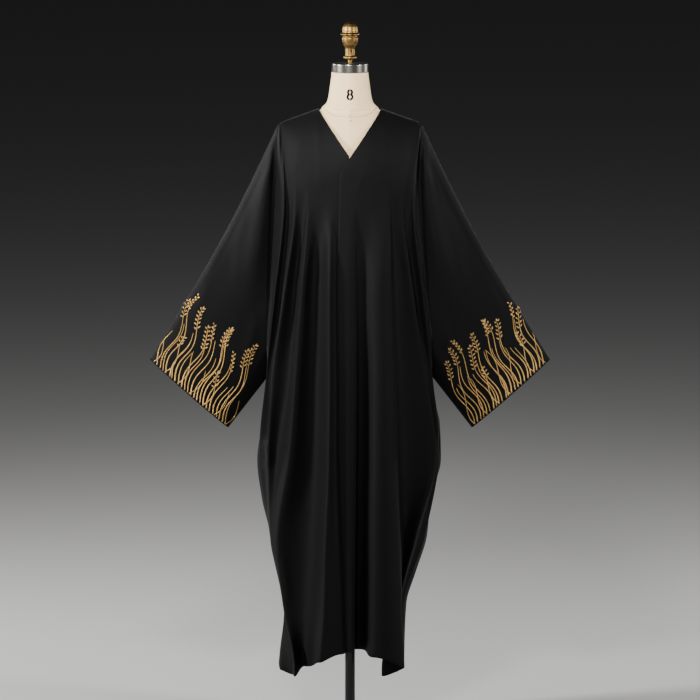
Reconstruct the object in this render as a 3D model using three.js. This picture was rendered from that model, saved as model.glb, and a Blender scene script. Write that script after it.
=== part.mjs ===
// A floor-length black abaya with wide batwing sleeves, worn by a limbless dress form on a stand.
// Millimetres, +Z up, +X to the viewer's right, the front of the garment faces -Y.
// The origin is where the axis of the stand's pole meets the floor.
// Each cloth piece is a thin wall. Its outer face follows plan curves through guide lines that
// run down the cloth, one for each crest and each hollow of its folds.
import * as THREE from 'three';

// Driving sizes of the garment.
const WALL = 1.8;
const SEAM_HALF_GAP = 0.2;
const NECK_POINT = { x: 81, z: 1620 };
const V_POINT_Z = 1503;
const SHOULDER_SLOPE = 0.365;
const SHOULDER_TIP = { x: 187, roundFrom: 169, roundDrop: 4.6 };
const SHOULDER_ROUND = 190;
const BACK_NECK_DROP = 8;
const UNDERARM_Z = 920;
const SIDE_HEM_Z = 160;
const CHEST = { halfWidth: 205, front: 128, back: 112 };
const FOLD_RUN_IN = 230;
const EDGE_RUN_IN = { above: 4, length: 60 };
const LAP_STEP = 3.6;
const SIDE_SEAM_INSET = 4;
const CUFF = { top: { x: 520, z: 966 }, bottom: { x: 317, z: 787 }, halfDepth: 33, sleeveBow: 15 };

// Driving sizes of the dress form and its stand.
const SHOULDER_SEAT_DROP = 2.8;
const FORM_BOTTOM_Z = 890;
const NECK_TOP_Z = 1713.5;
const CAP = { radius: 47.3, height: 23.5, edge: 1.2 };
const STEM = { radius: 5, height: 10 };
const POLE_RADIUS = 13;
const BASE = { radius: 210, thickness: 11, edge: 3 };
const HUB = { footRadius: 34, footRise: 2, waistRadius: 20, waistRise: 12, topRadius: 18, top: 44 };
const FACETS = { form: 40, cap: 40, stem: 16, finial: 28, base: 48, pole: 20 };
const FACE_GAP = 0.3;

// Heights of the levels that the guide tables give, from the shoulder down to the hem.
const LEVELS = {
  top: 1560, bust: 1400, waist: 1130, underarm: 940, hip: 730, thigh: 500, knee: 320, hem: 160,
};
const ALL_LEVELS = Object.values(LEVELS);
const FOLD_LEVELS = ALL_LEVELS.slice(2);

// Half width of the body of the garment at its widest, to the wearer's right and left.
const SIDES = {
  z:     [1616, 1400, 1130, 1000, 940, 900, 790, 700, 600, 500, 400, 320, 220, 150],
  right: [ 205,  205,  228,  226, 218, 216, 233, 245, 233, 208, 184, 172, 180, 188],
  left:  [ 205,  205,  228,  226, 218, 217, 238, 240, 213, 203, 172, 148, 143, 142],
};

// The armhole seam: distance from the centre to the wearer's right and left, and depth to the
// front and to the back of the side.
const ARMHOLE = {
  z:     [1577, 1550, 1468, 1337, 1130, 1000, 950, 920],
  right: [ 186,  188,  192,  199,  208,  216, 214, 213],
  left:  [ 186,  182,  175,  182,  199,  213, 213, 213],
  depth: [   0,   20,   33,   38,   38,   28,  11, 0.2],
};

// Guide lines of the front panels, from the centre to the side. x is the distance outward from the
// centre at each level, y the distance forward at the levels from the waist down, start the height
// where the fold leaves the chest, hem the height where the line ends, steps the spans to the next.
// turn is the share of a span over which the cloth keeps a guide's direction: small on a sharp crest.
const SHARP = 0.2;
const SOFT = 0.4;
const TO_NECK = [0, 0.4, 0.72, 0.9];
const CENTRE_FRONT = [131, 133, 136, 138, 140, 142];
const UNDER_LAP = CENTRE_FRONT.map((y) => y - LAP_STEP);
const FRONT_RIGHT = [
  { name: 'lap_edge', start: 1405, turn: SOFT, hem: 221, steps: 2,
    x: [  3,   3,   3,   2,   1,   0,  -1,  -2], y: UNDER_LAP },
  { name: 'lap_root', start: 1405, turn: SOFT, hem: 212, steps: 2,
    x: [ 34,  34,  36,  36,  36,  30,  24,  22], y: UNDER_LAP },
  { name: 'fold_1', start: 1400, turn: SHARP, hem: 195, steps: TO_NECK,
    x: [ 52,  50,  53,  53,  55,  63,  69,  80], y: [146, 150, 154, 157, 160, 165] },
  { name: 'hollow_1', start: 1420, turn: SOFT, hem: 172, steps: 3,
    x: [ 81,  80,  92,  94,  97, 105, 113, 118], y: [102,  98,  94,  90,  88,  88] },
  { name: 'fold_2', start: 1430, turn: SHARP, hem: 149, steps: 2,
    x: [112, 108, 126, 140, 157, 187, 171, 143], y: [122, 116, 112,  88,  78, 112] },
  { name: 'hollow_2', start: 1445, turn: SOFT, hem: 150, steps: 3,
    x: [126, 121, 144, 158, 188, 201, 172, 152], y: [ 88,  78,  62,  66,  50,  84] },
  { name: 'fold_3', start: 1460, turn: SHARP, hem: 159, steps: 2,
    x: [146, 141, 172, 198, 212, 207, 172, 182], y: [102,  78,  64,  50,  36,  66] },
  { name: 'hollow_3', start: 1480, turn: SOFT, hem: 160, steps: 2,
    x: [163, 159, 181, 205, 222, 208, 170, 184], y: [ 74,  50,  32,  34,  22,  44] },
  { name: 'fold_4', start: 1560, turn: SHARP, hem: 160, steps: 3,
    x: [176, 170, 196, 216, 235, 208, 171, 186], y: [ 84,  48,  18,  18,  12,  24] },
];
const FRONT_LEFT = [
  { name: 'edge', start: 1405, turn: SOFT, hem: 218, steps: 3,
    x: [-19, -27, -31, -28, -27, -19, -12,  -7], y: CENTRE_FRONT },
  { name: 'lap_root', start: 1405, turn: SOFT, hem: 219, steps: 2,
    x: [  8,   8,   8,   8,   7,   7,   7,   8], y: CENTRE_FRONT },
  { name: 'hollow_0', start: 1390, turn: SOFT, hem: 217, steps: TO_NECK,
    x: [ 34,  26,  24,  26,  27,  26,  24,  24], y: [112, 104,  98,  92,  88,  88] },
  { name: 'fold_1', start: 1400, turn: SOFT, hem: 206, steps: 2,
    x: [ 81,  77,  72,  72,  69,  67,  66,  63], y: [138, 142, 146, 148, 150, 152] },
  { name: 'fold_2', start: 1430, turn: SHARP, hem: 172, steps: 3,
    x: [104, 102, 106, 112, 118, 127, 133, 142], y: [124, 125, 126, 122, 118, 115] },
  { name: 'hollow_2', start: 1445, turn: SOFT, hem: 142, steps: 3,
    x: [118, 110, 121, 129, 137, 142, 120,  84], y: [ 88,  80,  60,  42,  44,  62] },
  { name: 'fold_3', start: 1440, turn: SHARP, hem: 148, steps: 2,
    x: [140, 135, 165, 194, 224, 168, 130, 124], y: [ 94,  70,  50,  60,  36,  36] },
  { name: 'hollow_3', start: 1450, turn: SOFT, hem: 152, steps: 2,
    x: [150, 143, 171, 200, 224, 178, 128, 118], y: [ 70,  48,  28,  34,  24,  24] },
  { name: 'fold_4', start: 1560, turn: SHARP, hem: 156, steps: 3,
    x: [172, 162, 191, 212, 232, 194, 138, 130], y: [ 82,  46,  18,  20,  12,  12] },
];

// The cowl that the spare cloth makes at each side, above the hip: the third hollow is pressed in
// between these heights, by this much.
const COWL = { low: 735, lip: 35, high: 930, run: 110, inward: 10 };

// Folds of the back: angle from the centre back at four levels, and their crests and hollows.
const NECK_TURN = Math.asin(NECK_POINT.x / CHEST.halfWidth) * THREE.MathUtils.RAD2DEG;
const BACK_TURN_LEVELS = [LEVELS.top, LEVELS.waist, LEVELS.hip, LEVELS.hem];
const BACK_FOLDS = [
  { turn: [12, 11, 10, 10], start: 1430, throughNeck: true },
  { turn: [2 * NECK_TURN - 12, 31, 31, 31], start: 1450, throughNeck: true },
  { turn: [46, 46, 52, 53], start: 1480 },
  { turn: [55, 57, 75, 76], start: 1540 },
];
const BACK_DEPTH = [118, 128, 134, 136, 138, 140];
const BACK_CREST = [8, 10, 12, 13, 14, 15];
const BACK_HOLLOW = [-9, -12, -18, -22, -24, -26];
const BACK_HEM = { centre: 192, wave: 4 };
const BACK_STEPS = 2;

// Rows of every body panel, as shares of the way from its top edge to the hem. One row meets the underarm.
const shoulderZ = (x) => {
  const out = Math.abs(x);
  const bent = Math.max(out - SHOULDER_TIP.roundFrom, 0) / (SHOULDER_TIP.x - SHOULDER_TIP.roundFrom);
  return NECK_POINT.z + (NECK_POINT.x - out) * SHOULDER_SLOPE - SHOULDER_TIP.roundDrop * bent * bent;
};
const TIP_Z = shoulderZ(SHOULDER_TIP.x);
const UNDERARM_SHARE = (TIP_Z - UNDERARM_Z) / (TIP_Z - SIDE_HEM_Z);
const ROWS = [0, 0.002, 0.006, 0.013, 0.025, 0.042, 0.065, 0.095, 0.13, 0.175, 0.23, 0.29, 0.35, 0.41,
  UNDERARM_SHARE, 0.51, 0.55, 0.59, 0.63, 0.68, 0.74, 0.8, 0.87, 0.94, 1];
const UNDERARM_ROW = ROWS.indexOf(UNDERARM_SHARE);
const SLEEVE_ROWS = [0, 0.025, 0.065, 0.12, 0.19, 0.28, 0.39, 0.51, 0.64, 0.77, 0.89, 1];

const smooth = (t) => {
  const c = Math.min(Math.max(t, 0), 1);
  return c * c * (3 - 2 * c);
};
const mix = (a, b, t) => a + (b - a) * t;

// A curve through the values at the given heights that never overshoots them, flat past both ends.
function curve(heights, values) {
  const rows = heights.map((z, i) => [z, values[i]]).sort((p, q) => p[0] - q[0]);
  const slopes = rows.slice(1).map(([z, v], i) => (v - rows[i][1]) / (z - rows[i][0]));
  const tangents = rows.map((row, i) => {
    const before = slopes[i - 1];
    const after = slopes[i];
    if (before === undefined || after === undefined || before * after <= 0) return 0;
    return (2 * before * after) / (before + after);
  });
  return (z) => {
    if (z <= rows[0][0]) return rows[0][1];
    const last = rows.length - 1;
    if (z >= rows[last][0]) return rows[last][1];
    const i = rows.findIndex(([height]) => height > z) - 1;
    const span = rows[i + 1][0] - rows[i][0];
    const t = (z - rows[i][0]) / span;
    const a = t * t * (3 - 2 * t);
    const b = t * (1 - t) * (1 - t) * span;
    const c = t * t * (t - 1) * span;
    return mix(rows[i][1], rows[i + 1][1], a) + b * tangents[i] + c * tangents[i + 1];
  };
}

const halfWidthAt = { right: curve(SIDES.z, SIDES.right), left: curve(SIDES.z, SIDES.left) };
const armholeXAt = { right: curve(ARMHOLE.z, ARMHOLE.right), left: curve(ARMHOLE.z, ARMHOLE.left) };
const armholeDepth = curve(ARMHOLE.z, ARMHOLE.depth);

const frontNecklineZ = (x) => V_POINT_Z + x * (NECK_POINT.z - V_POINT_Z) / NECK_POINT.x;
const backNecklineZ = (x) => NECK_POINT.z - BACK_NECK_DROP * (1 - (x / NECK_POINT.x) ** 2);

// Distance of the smooth cloth of chest or back from the plane of the shoulder seams.
function chestDepth(x, z, depth) {
  const across = Math.sqrt(Math.max(0, 1 - (x / CHEST.halfWidth) ** 2));
  const down = Math.min(Math.max((shoulderZ(x) - z) / SHOULDER_ROUND, 0), 1);
  return depth * across * Math.sqrt(2 * down - down * down);
}

// The seam at the side of a front or back panel: the armhole above the underarm, the side seam below.
function sideEdge(side, z) {
  if (z > UNDERARM_Z) return { x: armholeXAt[side](z), y: armholeDepth(z) };
  return { x: halfWidthAt[side](z) - SIDE_SEAM_INSET, y: SEAM_HALF_GAP };
}

const edgeWeight = (z) => smooth((TIP_Z + EDGE_RUN_IN.above - z) / EDGE_RUN_IN.length);

// A front panel's guides: each gives x outward and y forward at any height, and how far the fold has set in.
function frontGuides(rows, side) {
  const guides = rows.map((row) => {
    const x = curve(ALL_LEVELS, row.x);
    const y = curve(FOLD_LEVELS, row.y);
    const pressed = row.name === 'hollow_3' ? COWL.inward : 0;
    return {
      ...row,
      at: (z) => ({
        x: x(z) - pressed * smooth((z - COWL.low) / COWL.lip) * smooth((COWL.high - z) / COWL.run),
        y: y(z),
      }),
      weight: (z) => smooth((row.start - z) / FOLD_RUN_IN),
    };
  });
  guides.push({ at: (z) => sideEdge(side, z), weight: edgeWeight, hem: SIDE_HEM_Z, turn: SOFT });
  return guides;
}

// The back panel's guides, from the wearer's right side to the left. x is across, y backward.
function backGuides() {
  const depth = curve(FOLD_LEVELS, BACK_DEPTH);
  const crest = curve(FOLD_LEVELS, BACK_CREST);
  const hollow = curve(FOLD_LEVELS, BACK_HOLLOW);
  const guide = (turnAt, rise, start, wave) => ({
    steps: BACK_STEPS,
    turn: SOFT,
    hem: BACK_HEM.centre + wave - (BACK_HEM.centre - SIDE_HEM_Z) * Math.sin(turnAt(LEVELS.hem)) ** 2,
    at: (z) => {
      const turn = turnAt(z);
      const halfWidth = halfWidthAt[turn < 0 ? 'right' : 'left'](z);
      const x = (halfWidth + rise(z) - crest(z)) * Math.sin(turn);
      return { x, y: (depth(z) + rise(z)) * Math.cos(turn) };
    },
    weight: (z) => smooth((start - z) / FOLD_RUN_IN),
  });
  const half = BACK_FOLDS.map((fold) => {
    const turns = fold.turn.map((degrees) => degrees * THREE.MathUtils.DEG2RAD);
    return { ...fold, turn: curve(BACK_TURN_LEVELS, turns) };
  });
  const folds = [...half].reverse().map((fold) => ({ ...fold, turn: (z) => -fold.turn(z) })).concat(half);
  const edge = (sign, side) => ({
    steps: BACK_STEPS,
    turn: SOFT,
    hem: SIDE_HEM_Z,
    at: (z) => ({ x: sign * sideEdge(side, z).x, y: sideEdge(side, z).y }),
    weight: edgeWeight,
  });
  const guides = [edge(-1, 'right')];
  const fromNeck = [0, ...TO_NECK.slice(1).map((share) => 1 - share).reverse()];
  folds.forEach((fold, i) => {
    const next = folds[i + 1];
    const guideHere = guide(fold.turn, crest, fold.start, -BACK_HEM.wave);
    const towardsNeck = next && fold.throughNeck && next.throughNeck;
    guides.push(guideHere);
    if (!next) return;
    const between = (z) => (fold.turn(z) + next.turn(z)) / 2;
    const hollowHere = guide(between, hollow, Math.max(fold.start, next.start), BACK_HEM.wave);
    guides.push(hollowHere);
    if (towardsNeck && between(LEVELS.top) > 0) guideHere.steps = TO_NECK;
    if (towardsNeck && between(LEVELS.top) < 0) hollowHere.steps = fromNeck;
  });
  guides.push(edge(1, 'left'));
  return guides;
}

// A point of the plan curve at height z: guide number s, with whole numbers on the guides.
function planPoint(guides, s, z) {
  const k = Math.min(Math.floor(s), guides.length - 2);
  const t = s - k;
  const p = [k - 1, k, k + 1, k + 2].map((i) => guides[i] && guides[i].at(z));
  const [from, to] = [p[1], p[2]];
  const before = p[0] || from;
  const after = p[3] || to;
  const chord = Math.hypot(to.x - from.x, to.y - from.y);
  const leaveReach = chord * guides[k].turn;
  const arriveReach = chord * guides[k + 1].turn;
  const unit = (a, b) => {
    const length = Math.hypot(b.x - a.x, b.y - a.y) || 1;
    return { x: (b.x - a.x) / length, y: (b.y - a.y) / length };
  };
  const leave = unit(before, to);
  const arrive = unit(from, after);
  const bezier = (a, b, da, db) => {
    const r = 1 - t;
    const leaving = a + da * leaveReach;
    const arriving = b - db * arriveReach;
    return r * r * r * a + 3 * r * r * t * leaving + 3 * r * t * t * arriving + t * t * t * b;
  };
  return {
    x: bezier(from.x, to.x, leave.x, arrive.x),
    y: bezier(from.y, to.y, leave.y, arrive.y),
    weight: mix(guides[k].weight(z), guides[k + 1].weight(z), smooth(t)),
    hem: mix(guides[k].hem, guides[k + 1].hem, smooth(t)),
  };
}

const TOP_TRIES = 12;
const evenShares = (steps) => Array.from({ length: steps }, (_, i) => i / steps);
const stepShares = (steps) => (Array.isArray(steps) ? steps : evenShares(steps));

// A body panel: sign is the side of the panel's x, forward -1 for a front and 1 for the back.
function bodyPanel(guides, { sign, forward, depth, topEdge }) {
  const plan = (s, z) => {
    const p = planPoint(guides, s, z);
    const y = mix(chestDepth(p.x, z, depth), p.y, p.weight);
    return new THREE.Vector3(sign * p.x, forward * Math.max(y, SEAM_HALF_GAP), z);
  };
  const topAt = (s) => {
    let z = TIP_Z;
    for (let i = 0; i < TOP_TRIES; i += 1) z = topEdge(planPoint(guides, s, z).x);
    return z;
  };
  return {
    columns: guides.slice(0, -1).flatMap((g, k) => stepShares(g.steps).map((share) => k + share))
      .concat(guides.length - 1),
    at: (s, v) => {
      const hem = planPoint(guides, s, LEVELS.hem).hem;
      return plan(s, mix(topAt(s), hem, v));
    },
  };
}

const frontTop = (x) => Math.min(frontNecklineZ(Math.abs(x)), shoulderZ(x));
const overlapTop = (x) => Math.min(frontNecklineZ(x), shoulderZ(x));
const backTop = (x) => (Math.abs(x) < NECK_POINT.x ? backNecklineZ(x) : shoulderZ(x));

const panels = {
  front_right: bodyPanel(frontGuides(FRONT_RIGHT, 'right'),
    { sign: -1, forward: -1, depth: CHEST.front - LAP_STEP, topEdge: frontTop }),
  front_left: bodyPanel(frontGuides(FRONT_LEFT, 'left'),
    { sign: 1, forward: -1, depth: CHEST.front, topEdge: overlapTop }),
  back: bodyPanel(backGuides(), { sign: 1, forward: 1, depth: CHEST.back, topEdge: backTop }),
};

// Closed wall from a grid of outer points. across and down number its columns and rows; outward says
// which way its normal points; ring joins the last column to the first; lie bends edge normals.
function wallGeometry(grid, { outward, ring = false, lie = () => {} }) {
  const columns = grid.length;
  const rows = grid[0].length;
  const clampRow = (j) => Math.min(Math.max(j, 0), rows - 1);
  const columnAt = (i) => (ring ? (i + columns) % columns : Math.min(Math.max(i, 0), columns - 1));
  const inner = grid.map((column, i) => column.map((point, j) => {
    const across = new THREE.Vector3().subVectors(grid[columnAt(i + 1)][j], grid[columnAt(i - 1)][j]);
    const down = new THREE.Vector3().subVectors(column[clampRow(j + 1)], column[clampRow(j - 1)]);
    const normal = across.cross(down).normalize().multiplyScalar(outward);
    lie(normal, i, j);
    return point.clone().addScaledVector(normal.normalize(), -WALL);
  }));
  const vertices = [...grid.flat(), ...inner.flat()];
  const half = columns * rows;
  const id = (i, j, inside) => (inside ? half : 0) + columnAt(i) * rows + j;
  const indices = [];
  const quad = (a, b, c, d) => indices.push(...(outward > 0 ? [a, b, c, a, c, d] : [a, c, b, a, d, c]));
  const spans = ring ? columns : columns - 1;
  for (let i = 0; i < spans; i += 1) {
    for (let j = 0; j < rows - 1; j += 1) {
      quad(id(i, j), id(i + 1, j), id(i + 1, j + 1), id(i, j + 1));
      quad(id(i, j, true), id(i, j + 1, true), id(i + 1, j + 1, true), id(i + 1, j, true));
    }
    quad(id(i, 0), id(i, 0, true), id(i + 1, 0, true), id(i + 1, 0));
    quad(id(i, rows - 1), id(i + 1, rows - 1), id(i + 1, rows - 1, true), id(i, rows - 1, true));
  }
  for (let j = 0; j < rows - 1 && !ring; j += 1) {
    quad(id(0, j), id(0, j + 1), id(0, j + 1, true), id(0, j, true));
    quad(id(spans, j), id(spans, j, true), id(spans, j + 1, true), id(spans, j + 1));
  }
  const geometry = new THREE.BufferGeometry();
  const places = vertices.flatMap((v) => [v.x, v.y, v.z]);
  geometry.setAttribute('position', new THREE.Float32BufferAttribute(places, 3));
  geometry.setIndex(indices);
  geometry.computeVertexNormals();
  return geometry;
}

const TIP_LEAN = 0.6;

// Direction through the cloth at the armhole and side seams, the same for both pieces that meet there.
function seamNormal(sign, forward, row) {
  if (row === 0) return new THREE.Vector3(sign * TIP_LEAN, 0, 1);
  if (row >= UNDERARM_ROW) return new THREE.Vector3(sign, 0, 0);
  return new THREE.Vector3(0, forward, 0);
}

function panelGeometry(panel, { outward, sides, forward }) {
  const grid = panel.columns.map((s) => ROWS.map((v) => panel.at(s, v)));
  const last = grid.length - 1;
  return wallGeometry(grid, {
    outward,
    lie: (normal, i, j) => {
      const onShoulder = j === 0 && Math.abs(grid[i][j].x) >= NECK_POINT.x - SAME_PLACE;
      if (i === 0 && sides.first) normal.copy(seamNormal(sides.first, forward, j));
      else if (i === last && sides.last) normal.copy(seamNormal(sides.last, forward, j));
      else if (onShoulder) normal.setY(0);
    },
  });
}

// A sleeve is a wide tube from the armhole to the cuff. Its first ring lies beside the panels' edges.
// A soft ridge runs down it beside the armhole, and its depth at the cuff is a lens.
const CREST = {
  offset: 13, spread: 0.095, rise: 17, width: 10, widen: 0.08, fadeFrom: 1270, fadeTo: 1030,
  topRun: 40, lengthRun: 0.06, roundRun: 0.12,
};
const SLEEVE_SHIFT = 0.6;
const SAME_PLACE = 0.01;
const CUFF_LENS_POWER = 0.6;

function sleeveGrid(sign, front, back) {
  const armholeX = armholeXAt[sign > 0 ? 'left' : 'right'];
  const edges = [front, back].map((panel) => {
    const s = panel === front || sign > 0 ? panel.columns.at(-1) : 0;
    return ROWS.slice(0, UNDERARM_ROW + 1).map((v) => panel.at(s, v));
  });
  const ring = edges[0].map((p) => p.clone()).concat(edges[1].slice(1, -1).reverse());
  ring[0].y = 0;
  ring[UNDERARM_ROW].y = 0;
  const height = ring[0].z - ring[UNDERARM_ROW].z;
  return ring.map((root) => {
    const share = (ring[0].z - root.z) / height;
    const depth = Math.sign(root.y) * CUFF.halfDepth * Math.sin(Math.PI * share) ** CUFF_LENS_POWER;
    const end = new THREE.Vector3(
      sign * mix(CUFF.top.x, CUFF.bottom.x, share), depth, mix(CUFF.top.z, CUFF.bottom.z, share));
    return SLEEVE_ROWS.map((v) => {
      const p = root.clone().lerp(end, v);
      p.x += sign * (SLEEVE_SHIFT * (1 - v) - CUFF.sleeveBow * (1 - share) * Math.sin(Math.PI * v));
      const below = Math.max(LEVELS.top - p.z, 0);
      const crestX = armholeX(p.z) + CREST.offset + CREST.spread * below;
      const near = (Math.abs(p.x) - crestX) / (CREST.width + CREST.widen * below);
      const kept = smooth((p.z - CREST.fadeTo) / (CREST.fadeFrom - CREST.fadeTo));
      const fade = kept * smooth(below / CREST.topRun);
      const open = smooth(v / CREST.lengthRun) * smooth(share / CREST.roundRun);
      p.y += Math.sign(root.y) * CREST.rise * fade * open * Math.exp(-near * near);
      return p;
    });
  });
}

function sleeveGeometry(sign, front) {
  const grid = sleeveGrid(sign, front, panels.back);
  return wallGeometry(grid, {
    outward: sign,
    ring: true,
    lie: (normal, i, j) => {
      if (j > 0 || i === UNDERARM_ROW) return;
      const row = i < UNDERARM_ROW ? i : 2 * UNDERARM_ROW - i;
      normal.copy(seamNormal(sign, i <= UNDERARM_ROW ? -1 : 1, row));
    },
  });
}

// Sections of the dress form, from its flat bottom to the top of the neck: half width, depth to the
// front and back, and the power of the superellipse. The shoulders slope as the garment's seams do.
const NECK_ROOT_Z = 1617;
const formShoulderX = (z) => NECK_POINT.x + (NECK_POINT.z - SHOULDER_SEAT_DROP - z) / SHOULDER_SLOPE;
const FORM_SECTIONS = [
  { z: FORM_BOTTOM_Z, half: 148, front: 92, back: 98, power: 2.3 },
  { z: 940, half: 158, front: 96, back: 104, power: 2.3 },
  { z: 1000, half: 160, front: 97, back: 102, power: 2.3 },
  { z: 1080, half: 148, front: 94, back: 88, power: 2.2 },
  { z: 1150, half: 127, front: 88, back: 76, power: 2.2 },
  { z: 1205, half: 118, front: 86, back: 72, power: 2.2 },
  { z: 1270, half: 126, front: 94, back: 82, power: 2.2 },
  { z: 1340, half: 142, front: 112, back: 94, power: 2.2 },
  { z: 1400, half: 152, front: 117, back: 100, power: 2.1 },
  { z: 1455, half: 160, front: 115, back: 100, power: 2 },
  { z: 1500, half: 166, front: 110, back: 96, power: 1.8 },
  { z: 1540, half: 172, front: 102, back: 90, power: 1.6 },
  { z: 1562, half: 177, front: 95, back: 84, power: 1.45 },
  { z: 1574, half: 179, front: 90, back: 79, power: 1.4 },
  { z: 1588, half: formShoulderX(1588), front: 86.5, back: 76, power: 1.35 },
  { z: 1600, half: formShoulderX(1600), front: 79.5, back: 71, power: 1.38 },
  { z: 1610, half: 96.2, front: 70.5, back: 66, power: 1.5 },
  { z: NECK_ROOT_Z, half: 76, front: 66.5, back: 63, power: 1.7 },
  { z: 1624, half: 71, front: 63.5, back: 61, power: 1.85 },
  { z: 1633, half: 61.5, front: 60, back: 58.5, power: 2 },
  { z: 1646, half: 56.5, front: 56.5, back: 56, power: 2 },
  { z: 1680, half: 51.3, front: 51.3, back: 51.3, power: 2 },
  { z: NECK_TOP_Z, half: 47.5, front: 47.5, back: 47.5, power: 2 },
];
const FORM_EASE = 9;

function formGeometry() {
  const vertices = [];
  const indices = [];
  FORM_SECTIONS.forEach(({ z, half, front, back, power }) => {
    for (let i = 0; i < FACETS.form; i += 1) {
      const angle = (2 * Math.PI * i) / FACETS.form;
      const [c, s] = [Math.cos(angle), Math.sin(angle)];
      const stretch = (Math.abs(c) ** power + Math.abs(s) ** power) ** (-1 / power);
      const x = half * c * stretch;
      const y = (s < 0 ? front : back) * s * stretch;
      const inside = chestDepth(x, z + SHOULDER_SEAT_DROP, (s < 0 ? CHEST.front : CHEST.back) - FORM_EASE);
      vertices.push(x, z <= NECK_ROOT_Z ? Math.sign(y) * Math.min(Math.abs(y), inside) : y, z);
    }
  });
  const at = (row, i) => row * FACETS.form + (i % FACETS.form);
  const lastRow = FORM_SECTIONS.length - 1;
  const bottom = vertices.length / 3;
  vertices.push(0, 0, FORM_BOTTOM_Z, 0, 0, NECK_TOP_Z);
  for (let i = 0; i < FACETS.form; i += 1) {
    for (let row = 0; row < lastRow; row += 1) {
      indices.push(at(row, i), at(row, i + 1), at(row + 1, i + 1));
      indices.push(at(row, i), at(row + 1, i + 1), at(row + 1, i));
    }
    indices.push(bottom, at(0, i + 1), at(0, i), bottom + 1, at(lastRow, i), at(lastRow, i + 1));
  }
  const geometry = new THREE.BufferGeometry();
  geometry.setAttribute('position', new THREE.Float32BufferAttribute(vertices, 3));
  geometry.setIndex(indices);
  geometry.computeVertexNormals();
  return geometry;
}

// A turned piece from its profile of [radius, height], standing on the plane z = 0 of its own mesh.
function turned(profile, segments) {
  const geometry = new THREE.LatheGeometry(profile.map(([r, z]) => new THREE.Vector2(r, z)), segments);
  return geometry.rotateX(Math.PI / 2);
}

// The finial: ring foot, neck, cup, shadow groove, bead and dome.
const FINIAL_PROFILE = [
  [0, 0], [16, 0], [17.6, 1.6], [17.6, 5.6], [16, 7.4], [12.6, 8.6], [12.4, 28], [14.6, 32], [18, 36.5],
  [20.6, 43], [21.4, 50], [21.4, 54.6], [20.2, 56], [19, 57], [19, 60.2], [23.6, 61.6], [25.4, 64],
  [23.6, 66.6], [20.6, 68], [20.4, 75], [18.6, 84], [14.2, 91], [7.4, 94.6], [0, 95.4],
];

const cloth = new THREE.MeshStandardMaterial({ color: 0x101011, roughness: 0.62, metalness: 0 });
const linen = new THREE.MeshStandardMaterial({ color: 0xe9ddc8, roughness: 0.85, metalness: 0 });
const steel = new THREE.MeshStandardMaterial({ color: 0xa8a6a2, roughness: 0.28, metalness: 1 });
const brass = new THREE.MeshStandardMaterial({ color: 0xa5814a, roughness: 0.4, metalness: 1 });
const darkMetal = new THREE.MeshStandardMaterial({ color: 0x17181a, roughness: 0.35, metalness: 0.6 });

const group = new THREE.Group();
function add(name, geometry, material, height = 0) {
  const mesh = new THREE.Mesh(geometry, material);
  mesh.name = name;
  mesh.position.z = height;
  group.add(mesh);
}

add('front_right', panelGeometry(panels.front_right,
  { outward: 1, sides: { last: -1 }, forward: -1 }), cloth);
add('front_left', panelGeometry(panels.front_left,
  { outward: -1, sides: { last: 1 }, forward: -1 }), cloth);
add('back', panelGeometry(panels.back,
  { outward: 1, sides: { first: -1, last: 1 }, forward: 1 }), cloth);
add('sleeve_right', sleeveGeometry(-1, panels.front_right), cloth);
add('sleeve_left', sleeveGeometry(1, panels.front_left), cloth);

add('form_torso', formGeometry(), linen);
const capBottom = NECK_TOP_Z + FACE_GAP;
add('neck_cap', turned([
  [0, 0], [CAP.radius, 0], [CAP.radius, CAP.height - CAP.edge], [CAP.radius - CAP.edge, CAP.height],
  [0, CAP.height],
], FACETS.cap), steel, capBottom);
const stemBottom = capBottom + CAP.height + FACE_GAP;
add('finial_stem', turned([
  [0, 0], [STEM.radius, 0], [STEM.radius, STEM.height], [0, STEM.height],
], FACETS.stem), brass, stemBottom);
add('finial', turned(FINIAL_PROFILE, FACETS.finial), brass, stemBottom + STEM.height + FACE_GAP);

add('stand_base', turned([
  [0, 0], [BASE.radius, 0], [BASE.radius, BASE.thickness - BASE.edge],
  [BASE.radius - BASE.edge, BASE.thickness],
  [HUB.footRadius, BASE.thickness + HUB.footRise], [HUB.waistRadius, BASE.thickness + HUB.waistRise],
  [HUB.topRadius, HUB.top], [0, HUB.top],
], FACETS.base), darkMetal);
const poleBottom = HUB.top + FACE_GAP;
const poleHeight = FORM_BOTTOM_Z - FACE_GAP - poleBottom;
add('stand_pole', turned([
  [0, 0], [POLE_RADIUS, 0], [POLE_RADIUS, poleHeight], [0, poleHeight],
], FACETS.pole), darkMetal, poleBottom);

export default group;
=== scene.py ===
"""A black abaya with gold embroidered cuffs on a dress form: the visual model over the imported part."""
import math
import random

import bpy
import numpy as np
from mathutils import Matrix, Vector
from mathutils.bvhtree import BVHTree


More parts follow.
